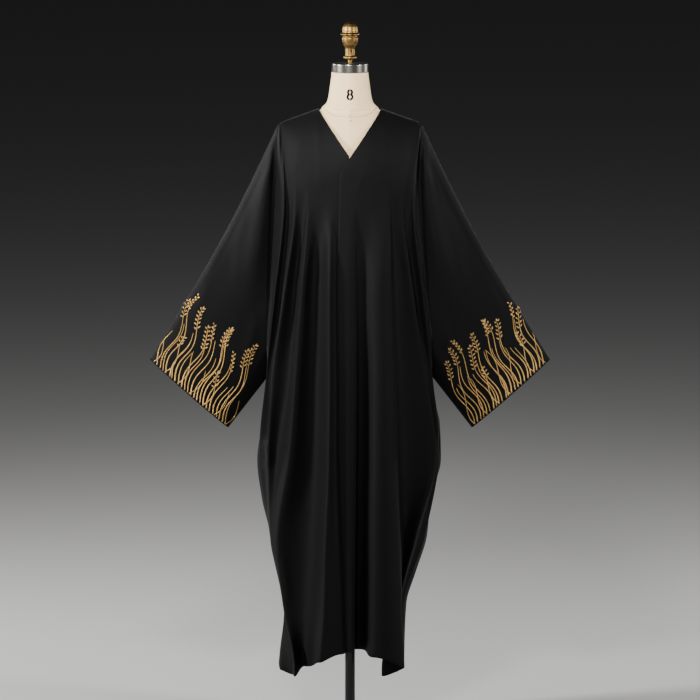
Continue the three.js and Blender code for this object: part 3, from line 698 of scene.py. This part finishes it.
def sleeve(name, sign, creases):
    grid = sleeve_grid(sign)
    for path, height, width, face in creases:
        grid = crease(grid, grid_normals(grid, sign, True), path, height, width, sides=face)
    normals = grid_normals(grid, sign, True)
    normals[1:SLEEVE_FRONT_ROWS, 0] = (0, -1, 0)
    normals[SLEEVE_FRONT_ROWS + 1:, 0] = (0, 1, 0)
    normals[0, 0] = unit(np.array([sign * TIP_LEAN, 0.0, 1.0]))
    return grid, fit(wall(name + "_cloth", grid, normals, sign, ring=True), "crepe", name)


# The sleeves' creases also say which face they are on: -1 the front, 1 the back.
sleeve_right_grid, sleeve_right = sleeve("sleeve_right", -1, (
    (((-306, 1086), (-284, 1056), (-258, 1028)), 1.3, 5, -1),
    (((-262, 1390), (-288, 1270), (-300, 1150)), 2.2, 16, -1),
    (((-330, 1290), (-372, 1170), (-400, 1070)), 1.5, 14, -1),
    (((-240, 1100), (-262, 1000), (-290, 900)), 1.8, 13, -1),
    (((-250, 1380), (-280, 1230), (-286, 1100)), 2.4, 15, 1),
    (((-330, 1240), (-360, 1120), (-392, 1010)), 1.6, 12, 1),
))
sleeve_left_grid, sleeve_left = sleeve("sleeve_left", 1, (
    (((300, 1120), (276, 1082), (262, 1040)), 1.0, 5, -1),
    (((250, 1380), (282, 1250), (306, 1130)), 2.0, 15, -1),
    (((320, 1310), (352, 1190), (396, 1080)), 1.4, 13, -1),
    (((236, 1080), (268, 980), (300, 880)), 1.7, 12, -1),
    (((262, 1360), (276, 1220), (300, 1090)), 2.1, 14, 1),
    (((340, 1260), (384, 1130), (404, 1030)), 1.5, 13, 1),
))


# The gold embroidery: grass stems and sprigs of grain that rise from the cuff, in a layout of its own.
CUFF_LENGTH = math.dist(CUFF_TOP, CUFF_BOTTOM)
CUFF_ALONG = np.array([CUFF_BOTTOM[0] - CUFF_TOP[0], CUFF_BOTTOM[1] - CUFF_TOP[1]]) / CUFF_LENGTH
GROWTH = np.array([-0.45, 0.893])
EDGE_MARGIN = 5
RAY_FROM = 300
THREAD_SCALE = 0.9
STEM_STEP, STEM_HEIGHT, FULL_HEIGHT_WIDTH = 4.8, 1.5, 2
STEM_TAPER, STEM_TIP, FEWEST_POINTS = 0.58, 0.5, 8
SWAY_RUN_IN = 14
DRIFT = 0.2
# The two families of stems. Pairs are the low and the high end of a random range.
TALL_STEMS, TALL_MARGIN, TALL_SHIFT, TALL_PHASE = 24, 6, 2, 0.25
TALL_REACH, REACH_WAVE, REACH_WAVE_RUN, REACH_SHIFT, BARE_SHARE = 188, 18, 15, 14, (0.5, 0.86)
TALL_LEAN, TALL_SWAY, TALL_LENGTH, TALL_WIDTH = (-0.09, 0.01), (7, 9.5), (140, 156), (2.9, 3.7)
LOW_STEMS, LOW_MARGIN, LOW_SHIFT, LOW_PHASE = 7, 12, 5, 0.4
LOW_REACH, LOW_LEAN, LOW_SWAY, LOW_LENGTH, LOW_WIDTH = (70, 138), (0, 0.12), (7, 10), (120, 145), (2.4, 3)
HEADS = ("sprig", "bare", "sprig", "bare", "spike", "bare", "bare")
TALL_PAIRS, LOW_PAIRS, SPIKE_ROWS = (4, 5, 5, 6), (3, 4), (8, 9, 10)
# The grains.
GRAIN_LENGTHS, GRAIN_WIDTHS = 7, 6
GRAIN_POINT, GRAIN_SHAPE, GRAIN_SINK = 0.06, 0.85, 0.15
GRAIN_RISE, FURROW_DEPTH, FURROW_WIDTH, FULL_RISE_HALF = 1.7, 0.38, 0.22, 1.2
SLANT_SCALE = 1.5
LOWEST_GRAIN = 3
SPRIG_GRAIN, SPRIG_GROWTH, SPRIG_RANGE, SPRIG_WIDTH = 7.4, 0.6, (0.85, 1.12), 3.7
SPRIG_AHEAD, SPRIG_SPREAD, SPRIG_OUT, SPRIG_LIFT = 0.85, (0.6, 1.0), 2.3, 0.4
SPRIG_STAGGER, SPRIG_SHIFT = 2.2, 0.8
TIP_GRAIN, TIP_WIDTH, TIP_AHEAD = 8.8, 4.2, 0.3
SPIKE_GRAIN, SPIKE_WIDTH, SPIKE_SPREAD, SPIKE_OUT, SPIKE_LIFT = (6.0, 7.4), 3.9, 0.42, 1.9, 0.5
STEM_PROFILE = ((-0.5, -0.3), (-0.47, 0.45), (-0.22, 0.92), (0.22, 0.92), (0.47, 0.45), (0.5, -0.3))


class Stitcher:
    """Collects the raised stitches of one sleeve as one mesh."""

    def __init__(self, grid, sign):
        faces = grid_faces(*grid.shape[:2], ring=True)
        self.tree = BVHTree.FromPolygons([Vector(p) for p in grid.reshape(-1, 3)], faces)
        self.sign = sign
        self.vertices, self.faces, self.uv = [], [], []

    def add_faces(self, first, faces):
        self.faces += [tuple(first + vertex for vertex in face) for face in faces]

    def place(self, along, up, face):
        """The point of the cloth at a distance along the cuff and above it, and its normal, or None."""
        x, z = np.array(CUFF_TOP) + CUFF_ALONG * along + GROWTH * up
        start = Vector((self.sign * x, face * RAY_FROM, z))
        hit, normal = self.tree.ray_cast(start, Vector((0, -face, 0)))[:2]
        if hit is None or hit.y * face < EDGE_MARGIN:
            return None
        if normal.y * face < 0:
            normal = -normal
        return np.array(hit), np.array(normal)

    def ribbon(self, points, normals, widths):
        points = np.array(points)
        tangents = unit(np.gradient(points, axis=0))
        sides = unit(np.cross(tangents, normals))
        first = len(self.vertices)
        travel = 0.0
        for k, (p, n, s, w) in enumerate(zip(points, normals, sides, widths)):
            if k:
                travel += np.linalg.norm(p - points[k - 1])
            for a, b in STEM_PROFILE:
                self.vertices.append(p + s * a * w + n * b * STEM_HEIGHT * min(1, w / FULL_HEIGHT_WIDTH))
                self.uv.append((travel * THREAD_SCALE, a * w * THREAD_SCALE))
        self.add_faces(first, ring_faces(len(points), len(STEM_PROFILE)))

    def leaf(self, point, normal, direction, length, width):
        """A pointed satin-stitch grain with a furrow down its middle."""
        direction = unit(direction - normal * np.dot(direction, normal))
        side = np.cross(direction, normal)
        lengths, widths = GRAIN_LENGTHS, GRAIN_WIDTHS
        first = len(self.vertices)
        for i in range(lengths + 1):
            t = i / lengths
            half = 0.5 * width * max(GRAIN_POINT, math.sin(math.pi * t ** GRAIN_SHAPE)) ** GRAIN_SHAPE
            for j in range(widths + 1):
                a = j / widths * 2 - 1
                furrow = 1 - FURROW_DEPTH * math.exp(-(a / FURROW_WIDTH) ** 2)
                rise = GRAIN_RISE * math.sqrt(max(0, 1 - a * a)) * furrow
                rise *= min(1, half / FULL_RISE_HALF)
                flat = point + direction * t * length + side * a * half
                self.vertices.append(flat + normal * (rise - GRAIN_SINK))
                self.uv.append((t * length * THREAD_SCALE + abs(a) * SLANT_SCALE, a * half * THREAD_SCALE))
        row = widths + 1
        rim = [*range(row)]
        rim += [i * row + widths for i in range(1, lengths + 1)]
        rim += [lengths * row + j for j in range(widths - 1, -1, -1)]
        rim += [i * row for i in range(lengths - 1, 0, -1)]
        self.add_faces(first, grid_faces(lengths + 1, row) + [rim])

    def stem(self, face, base, reach, lean, sway, length, phase, width):
        """A stem that sways as it rises, one full sway for each length. Returns its points and normals."""
        points, normals, widths = [], [], []
        steps = int(reach / STEM_STEP)
        for k in range(steps + 1):
            up = EDGE_MARGIN / 2 + reach * k / steps
            swing = math.sin(2 * math.pi * up / length + phase) - math.sin(phase)
            found = self.place(base + lean * up + sway * swing * min(1, up / SWAY_RUN_IN), up, face)
            if found is None:
                break
            points.append(found[0])
            normals.append(found[1])
            widths.append(width * (1 - STEM_TAPER * k / steps))
        if len(points) < FEWEST_POINTS:
            return None
        widths[-1] *= STEM_TIP
        self.ribbon(points, np.array(normals), widths)
        return points, normals

    def places_down(self, points, normals, count, spacing):
        """Places from a stem's tip down: number, point, normal, way ahead and way across."""
        last = len(points) - 1
        for k in range(count):
            index = last - spacing * k
            if index < LOWEST_GRAIN:
                break
            ahead = unit(points[index] - points[index - 1])
            yield k, points[index], normals[index], ahead, np.cross(ahead, normals[index])

    def sprig(self, points, normals, pairs, draw):
        """Open pairs of grains along the upper end of a stem, with one at its tip."""
        for k, point, normal, ahead, side in self.places_down(points, normals, pairs, 2):
            for turn in (-1, 1):
                size = (SPRIG_GRAIN + SPRIG_GROWTH * min(k, 3)) * draw.uniform(*SPRIG_RANGE)
                direction = ahead * SPRIG_AHEAD + side * turn * draw.uniform(*SPRIG_SPREAD)
                along = turn * SPRIG_STAGGER + draw.uniform(-SPRIG_SHIFT, SPRIG_SHIFT)
                start = point + side * turn * SPRIG_OUT + ahead * along
                self.leaf(start + normal * SPRIG_LIFT, normal, direction, size, SPRIG_WIDTH)
        tip = points[-1] - points[-2]
        start = points[-1] + tip * TIP_AHEAD + normals[-1] * TIP_AHEAD
        self.leaf(start, normals[-1], tip, TIP_GRAIN, TIP_WIDTH)

    def spike(self, points, normals, rows, draw):
        """A close ear of small grains along the upper end of a stem."""
        for k, point, normal, ahead, side in self.places_down(points, normals, rows, 1):
            turn = 1 if k % 2 else -1
            start = point + side * turn * SPIKE_OUT + normal * SPIKE_LIFT
            direction = ahead + side * turn * SPIKE_SPREAD
            self.leaf(start, normal, direction, draw.uniform(*SPIKE_GRAIN), SPIKE_WIDTH)


def embroider(name, grid, sign, seed):
    """Stems of two crossing families. The sway of neighbours nearly agrees and drifts along the cuff."""
    draw = random.Random(seed)
    stitcher = Stitcher(grid, sign)
    for face in (-1, 1):
        drift = draw.uniform(-DRIFT, DRIFT)
        wave = draw.uniform(0, 2 * math.pi)
        for k in range(TALL_STEMS):
            base = TALL_MARGIN + (CUFF_LENGTH - 2 * TALL_MARGIN) * (k + 0.5) / TALL_STEMS
            base += draw.uniform(-TALL_SHIFT, TALL_SHIFT)
            kind = HEADS[k % len(HEADS)]
            reach = TALL_REACH + REACH_WAVE * math.sin(base / REACH_WAVE_RUN + wave)
            reach += draw.uniform(-REACH_SHIFT, REACH_SHIFT)
            reach *= draw.uniform(*BARE_SHARE) if kind == "bare" else 1
            lean = draw.uniform(*TALL_LEAN)
            sway, length = draw.uniform(*TALL_SWAY), draw.uniform(*TALL_LENGTH)
            phase = drift + math.pi + draw.uniform(-TALL_PHASE, TALL_PHASE)
            made = stitcher.stem(face, base, reach, lean, sway, length, phase, draw.uniform(*TALL_WIDTH))
            if made and kind == "sprig":
                stitcher.sprig(*made, draw.choice(TALL_PAIRS), draw)
            elif made and kind == "spike":
                stitcher.spike(*made, draw.choice(SPIKE_ROWS), draw)
        for k in range(LOW_STEMS):
            base = LOW_MARGIN + (CUFF_LENGTH - 2 * LOW_MARGIN) * k / (LOW_STEMS - 1)
            base += draw.uniform(-LOW_SHIFT, LOW_SHIFT)
            reach, lean = draw.uniform(*LOW_REACH), draw.uniform(*LOW_LEAN)
            sway, length = draw.uniform(*LOW_SWAY), draw.uniform(*LOW_LENGTH)
            phase = drift + draw.uniform(-LOW_PHASE, LOW_PHASE)
            made = stitcher.stem(face, base, reach, lean, sway, length, phase, draw.uniform(*LOW_WIDTH))
            if made and k % 3 == 1:
                stitcher.sprig(*made, draw.choice(LOW_PAIRS), draw)
    piece = make_object(name, stitcher.vertices, stitcher.faces, gold_thread, stitcher.uv)
    return fit(piece, "gold_thread")


embroidery_right = embroider("embroidery_right", sleeve_right_grid, -1, seed=11)
embroidery_left = embroider("embroidery_left", sleeve_left_grid, 1, seed=23)


# The dress form: sections with smooth curves between them.
SEAT_DROP = 2.8
FORM_EASE = 9
NECK_ROOT_Z = 1617
FORM_FACETS, TUBE_SIDES = 128, 8
FORM_FINE_ABOVE, FORM_FINE_STEP, FORM_STEP = 1560, 3, 9


def form_shoulder_x(z):
    return NECK_POINT_X + (NECK_POINT_Z - SEAT_DROP - z) / SHOULDER_SLOPE


# Height, half width, depth in front, depth behind, and how square the section is.
FORM_SECTIONS = (
    (890, 148, 92, 98, 2.3), (940, 158, 96, 104, 2.3), (1000, 160, 97, 102, 2.3), (1080, 148, 94, 88, 2.2),
    (1150, 127, 88, 76, 2.2), (1205, 118, 86, 72, 2.2), (1270, 126, 94, 82, 2.2), (1340, 142, 112, 94, 2.2),
    (1400, 152, 117, 100, 2.1), (1455, 160, 115, 100, 2), (1500, 166, 110, 96, 1.8),
    (1540, 172, 102, 90, 1.6), (1562, 177, 95, 84, 1.45), (1574, 179, 90, 79, 1.4),
    (1588, form_shoulder_x(1588), 86.5, 76, 1.35), (1600, form_shoulder_x(1600), 79.5, 71, 1.38),
    (1610, 96.2, 70.5, 66, 1.5), (NECK_ROOT_Z, 76, 66.5, 63, 1.7), (1624, 71, 63.5, 61, 1.85),
    (1633, 61.5, 60, 58.5, 2), (1646, 56.5, 56.5, 56, 2), (1680, 51.3, 51.3, 51.3, 2),
    (1713.5, 47.5, 47.5, 47.5, 2),
)
form_z, *columns = zip(*FORM_SECTIONS)
form_half, form_front, form_back, form_power = (curve(form_z, column) for column in columns)


def form_point(angle, z):
    c, s = math.cos(angle), math.sin(angle)
    power = float(form_power(z))
    stretch = (abs(c) ** power + abs(s) ** power) ** (-1 / power)
    x = float(form_half(z)) * c * stretch
    y = float((form_front if s < 0 else form_back)(z)) * s * stretch
    if z <= NECK_ROOT_Z:
        limit = float(chest_depth(x, z + SEAT_DROP, (CHEST_FRONT if s < 0 else CHEST_BACK) - FORM_EASE))
        y = math.copysign(min(abs(y), limit), y)
    return x, y, z


def turns(count):
    return [2 * math.pi * k / count for k in range(count)]


def build_form():
    heights = []
    for low, high in zip(form_z, form_z[1:]):
        steps = max(2, round((high - low) / (FORM_FINE_STEP if low > FORM_FINE_ABOVE else FORM_STEP)))
        heights += [low + (high - low) * k / steps for k in range(steps)]
    heights.append(form_z[-1])
    vertices = [form_point(turn, z) for z in heights for turn in turns(FORM_FACETS)]
    faces = ring_faces(len(heights), FORM_FACETS)
    fit(make_object("form_linen", vertices, faces, linen), "linen", "form_torso")


def tube(name, points, radius, material, closed=False):
    points = np.array(points, float)
    tangents = np.gradient(points, axis=0)
    if closed:
        tangents = np.roll(points, -1, 0) - np.roll(points, 1, 0)
    tangents = unit(tangents)
    outward = points * np.array([1, 1, 0])
    outward = unit(outward - tangents * np.sum(outward * tangents, axis=1, keepdims=True))
    across = np.cross(tangents, outward)
    vertices = [p + radius * (math.cos(turn) * o + math.sin(turn) * a)
                for p, o, a in zip(points, outward, across) for turn in turns(TUBE_SIDES)]
    return make_object(name, vertices, ring_faces(len(points), TUBE_SIDES, closed, flip=True), material)


build_form()


def on_form(angle, z, lift=0.0):
    x, y, z = form_point(angle, z)
    length = math.hypot(x, y)
    return x * (1 + lift / length), y * (1 + lift / length), z


FRONT_ANGLE = -math.pi / 2
NECK_SEAM_Z, NECK_SEAM_DROP, NECK_SEAM_SHAPE, NECK_SEAM_BACK_DROP = 1626, 23, 1.6, 6
NECK_SEAM_POINTS, NECK_SEAM_LIFT = 120, 0.05
SEAM_STEP = 4


def neck_seam_point(angle):
    forward = -math.sin(angle)
    drop = NECK_SEAM_DROP * max(0, forward) ** NECK_SEAM_SHAPE + NECK_SEAM_BACK_DROP * max(0, -forward)
    return on_form(angle, NECK_SEAM_Z - drop, NECK_SEAM_LIFT)


seam_points = [neck_seam_point(turn) for turn in turns(NECK_SEAM_POINTS)]
# The neck seam is drawn in the darker linen, painted shade of its groove.
fit(tube("neck_seam", seam_points, 0.6, seam_shade_linen, closed=True), "linen")
# Name, angle on the form, lowest point, number of points and radius.
for name, angle, low, count, radius in (
    ("centre_seam", FRONT_ANGLE, 1480, 59, 0.4),
    ("centre_back_seam", -FRONT_ANGLE, 1560, 39, 0.5),
):
    fit(tube(name, [on_form(angle, low + SEAM_STEP * k) for k in range(count)], radius, linen), "linen")

# The two rings of the printed figure eight: middle height, half width and half height of the stroke's line.
NUMBER_RINGS = ((1665.2, 5.5, 5.6), (1653.6, 6.4, 6.6))
NUMBER_HALF_STROKE, NUMBER_OUTSIDE, NUMBER_INSIDE, NUMBER_POINTS = 2.7, 0.25, -0.3, 40


def size_number():
    """A plain figure eight: two flat rings printed on the front of the neck."""
    vertices, faces = [], []
    for middle, across, tall in NUMBER_RINGS:
        first = len(vertices)
        for turn in turns(NUMBER_POINTS):
            for grow in (-NUMBER_HALF_STROKE, NUMBER_HALF_STROKE):
                x = (across + grow) * math.cos(turn)
                z = middle + (tall + grow) * math.sin(turn)
                radius = float(form_front(z))
                depth = math.sqrt(radius * radius - x * x)
                for lift in (NUMBER_OUTSIDE, NUMBER_INSIDE):
                    vertices.append((x * (1 + lift / radius), -depth * (1 + lift / radius), z))
        for k in range(NUMBER_POINTS):
            n = (k + 1) % NUMBER_POINTS
            a, b = first + 4 * k, first + 4 * n
            faces += [(a, a + 2, b + 2, b), (a + 1, b + 1, b + 3, a + 3), (a, b, b + 1, a + 1),
                      (a + 2, a + 3, b + 3, b + 2)]
    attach(make_object("size_number", vertices, faces, ink), "root")


size_number()


DOT_SIDES = 20
# Share of the radius, depth in millimetres and share of the height at each ring of a dot.
DOT_RINGS = ((1, -0.6, 0), (1, 0, 0.2), (0.6, 0, 0.85))


def dot(name, centre, outward, radius, material, height=0.5):
    """A small flat-domed disc that stands on a surface."""
    centre, outward = np.array(centre, float), unit(np.array(outward, float))
    across = unit(np.cross(outward, (0, 0, 1)))
    up = np.cross(across, outward)
    vertices = []
    for share, depth, rise in DOT_RINGS:
        for turn in turns(DOT_SIDES):
            spoke = math.cos(turn) * across + math.sin(turn) * up
            vertices.append(centre + radius * share * spoke + outward * (depth + rise * height))
    faces = ring_faces(len(DOT_RINGS), DOT_SIDES, flip=True)
    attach(make_object(name, vertices, faces, material), "root")


MARK_RADIUS = 1.9
dot("front_mark_upper", on_form(FRONT_ANGLE - 0.012, 1607), (0, -1, 0.3), MARK_RADIUS, ink)
dot("front_mark_lower", on_form(FRONT_ANGLE + 0.010, 1594), (0, -1, 0.2), MARK_RADIUS, ink)


# Turned metal pieces.
def turned(name, profile, segments, material, bottom):
    """A closed turned piece from its [radius, height] profile, which starts and ends on the axis."""
    rings = [(r, z) for r, z in profile if r > 0]
    vertices = [(r * math.cos(turn), r * math.sin(turn), bottom + z)
                for r, z in rings for turn in turns(segments)]
    faces = ring_faces(len(rings), segments, capped=False)
    low, high = len(vertices), len(vertices) + 1
    vertices += [(0, 0, bottom + profile[0][1]), (0, 0, bottom + profile[-1][1])]
    last = (len(rings) - 1) * segments
    for k in range(segments):
        n = (k + 1) % segments
        faces.append((low, n, k))
        faces.append((high, last + k, last + n))
    return make_object(name, vertices, faces, material)


ARC_SHARE, STRAIGHT_SHARE, STRAIGHT_REACH = 0.45, 0.49, 1.6


def rounded(profile, corner):
    """The profile with a short arc for each corner, and a point on the straight at both ends of it."""
    made = [profile[0]]
    for before, at, after in zip(profile, profile[1:], profile[2:]):
        at = np.array(at)
        a, b = np.array(before) - at, np.array(after) - at
        la, lb = np.linalg.norm(a), np.linalg.norm(b)
        cut = min(corner, la * ARC_SHARE, lb * ARC_SHARE)
        start, end = at + a / la * cut, at + b / lb * cut
        middle = (start + end) / 4 + at / 2
        before_arc = at + a / la * min(cut * STRAIGHT_REACH, la * STRAIGHT_SHARE)
        after_arc = at + b / lb * min(cut * STRAIGHT_REACH, lb * STRAIGHT_SHARE)
        made += [tuple(point) for point in (before_arc, start, middle, end, after_arc)]
    made.append(profile[-1])
    return made


CAP_BOTTOM = 1713.8
STEM_BOTTOM = CAP_BOTTOM + 23.8
FINIAL_BOTTOM = STEM_BOTTOM + 10.3
POLE_TOP, POLE_BOTTOM = 889.7, 44.3
# Radius and height above the piece's bottom.
CAP_PROFILE = ((0, 0), (46.6, 0), (47.3, 0.8), (47.3, 21.4), (45.6, 23.5), (0, 23.5))
FINIAL_STEM_PROFILE = ((0, 0), (5, 0), (5, 10), (0, 10))
FINIAL_PROFILE = (
    (0, 0), (16, 0), (17.6, 1.6), (17.6, 5.6), (16, 7.4), (12.6, 8.6), (12.4, 28), (14.6, 32), (18, 36.5),
    (20.6, 43), (21.4, 50), (21.4, 54.6), (20.2, 56), (19, 57), (19, 60.2), (23.6, 61.6), (25.4, 64),
    (23.6, 66.6), (20.6, 68), (20.4, 75), (18.6, 84), (14.2, 91), (7.4, 94.6), (0, 95.4),
)
POLE_PROFILE = ((0, 0), (13, 0), (13, POLE_TOP - POLE_BOTTOM), (0, POLE_TOP - POLE_BOTTOM))
BASE_PROFILE = ((0, 0), (210, 0), (210, 8), (207, 11), (34, 13), (20, 23), (18, 44), (0, 44))
SCREW_OUT, SCREW_UP, SCREW_RADIUS, SCREW_HEIGHT = (3.9, -11.8), 21, 2.3, 0.3
SCREW_PLACE = (*SCREW_OUT, FINIAL_BOTTOM + SCREW_UP)
dot("finial_screw", SCREW_PLACE, (*SCREW_OUT, 0), SCREW_RADIUS, ink, SCREW_HEIGHT)
# Name, profile, corner radius, facets, material, bottom, slot and node.
for name, profile, corner, facets, material, bottom, slot, node in (
    ("neck_cap_steel", CAP_PROFILE, 1.0, 96, steel, CAP_BOTTOM, "steel", "neck_cap"),
    ("finial_stem_brass", FINIAL_STEM_PROFILE, 0.4, 40, brass, STEM_BOTTOM, "brass", "finial_stem"),
    ("finial_brass", FINIAL_PROFILE, 1.6, 72, brass, FINIAL_BOTTOM, "brass", "finial"),
    ("pole", POLE_PROFILE, 0.5, 64, dark_steel, POLE_BOTTOM, "dark_steel", "stand_pole"),
    ("foot", BASE_PROFILE, 2.5, 128, dark_iron, 0, "dark_iron", "stand_base"),
):
    fit(turned(name, rounded(profile, corner), facets, material, bottom), slot, node)

# The floor, the light and the camera.
FLOOR_SIZE, FLOOR_DROP = 400, 0.0005
floor_material = new_material("floor", (0.62, 0.61, 0.60), roughness=0.8, specular=0.2)[0]
bpy.ops.mesh.primitive_plane_add(size=FLOOR_SIZE, location=(0, 0, -FLOOR_DROP))
floor = bpy.context.object
floor.name = "floor"
floor.data.materials.append(floor_material)
floor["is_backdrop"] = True

world = bpy.data.worlds.new("studio")
bpy.context.scene.world = world
world.use_nodes = True
set_inputs(world.node_tree.nodes["Background"], {"Color": (0.78, 0.80, 0.84, 1), "Strength": 0.022})


def area_light(name, place, target, size, power, spread=180):
    light = bpy.data.lights.new(name, "AREA")
    light.shape = "DISK"
    light.size = size
    light.energy = power
    light.spread = math.radians(spread)
    obj = bpy.data.objects.new(name, light)
    obj.location = place
    obj.rotation_euler = (Vector(target) - Vector(place)).to_track_quat("-Z", "Y").to_euler()
    bpy.context.scene.collection.objects.link(obj)


# Name, place, target, width in metres, power in watts and, for a narrow light, its spread in degrees.
for row in (
    ("key", (-4.8, -1.7, 2.7), (0, 0, 1.1), 0.8, 430),
    ("front", (-0.9, -5.2, 3.0), (0, 0, 1.2), 1.3, 26),
    ("neck", (-0.4, -2.5, 2.7), (0, 0, 1.68), 0.4, 8, 50),
    ("side_right", (4.4, -2.2, 2.6), (0, 0, 1.1), 0.9, 150),
    ("rim_left", (-2.8, 1.5, 2.2), (0, 0, 1.2), 0.9, 60),
    ("rim_right", (3.0, 1.6, 2.0), (0, 0, 1.2), 0.9, 40),
):
    area_light(*row)

CAMERA_DISTANCE, CAMERA_TILT, TARGET_Z, VIEW_WIDTH, SENSOR_WIDTH = 15.0, math.radians(7), 0.990, 1.82, 36
camera_data = bpy.data.cameras.new("camera")
camera_data.sensor_width = SENSOR_WIDTH
camera_data.lens = SENSOR_WIDTH * CAMERA_DISTANCE / VIEW_WIDTH
camera = bpy.data.objects.new("camera", camera_data)
camera_z = TARGET_Z + CAMERA_DISTANCE * math.sin(CAMERA_TILT)
camera.location = (0, -CAMERA_DISTANCE * math.cos(CAMERA_TILT), camera_z)
camera.rotation_euler = (math.pi / 2 - CAMERA_TILT, 0, 0)
bpy.context.scene.collection.objects.link(camera)
bpy.context.scene.camera = camera

low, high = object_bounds()
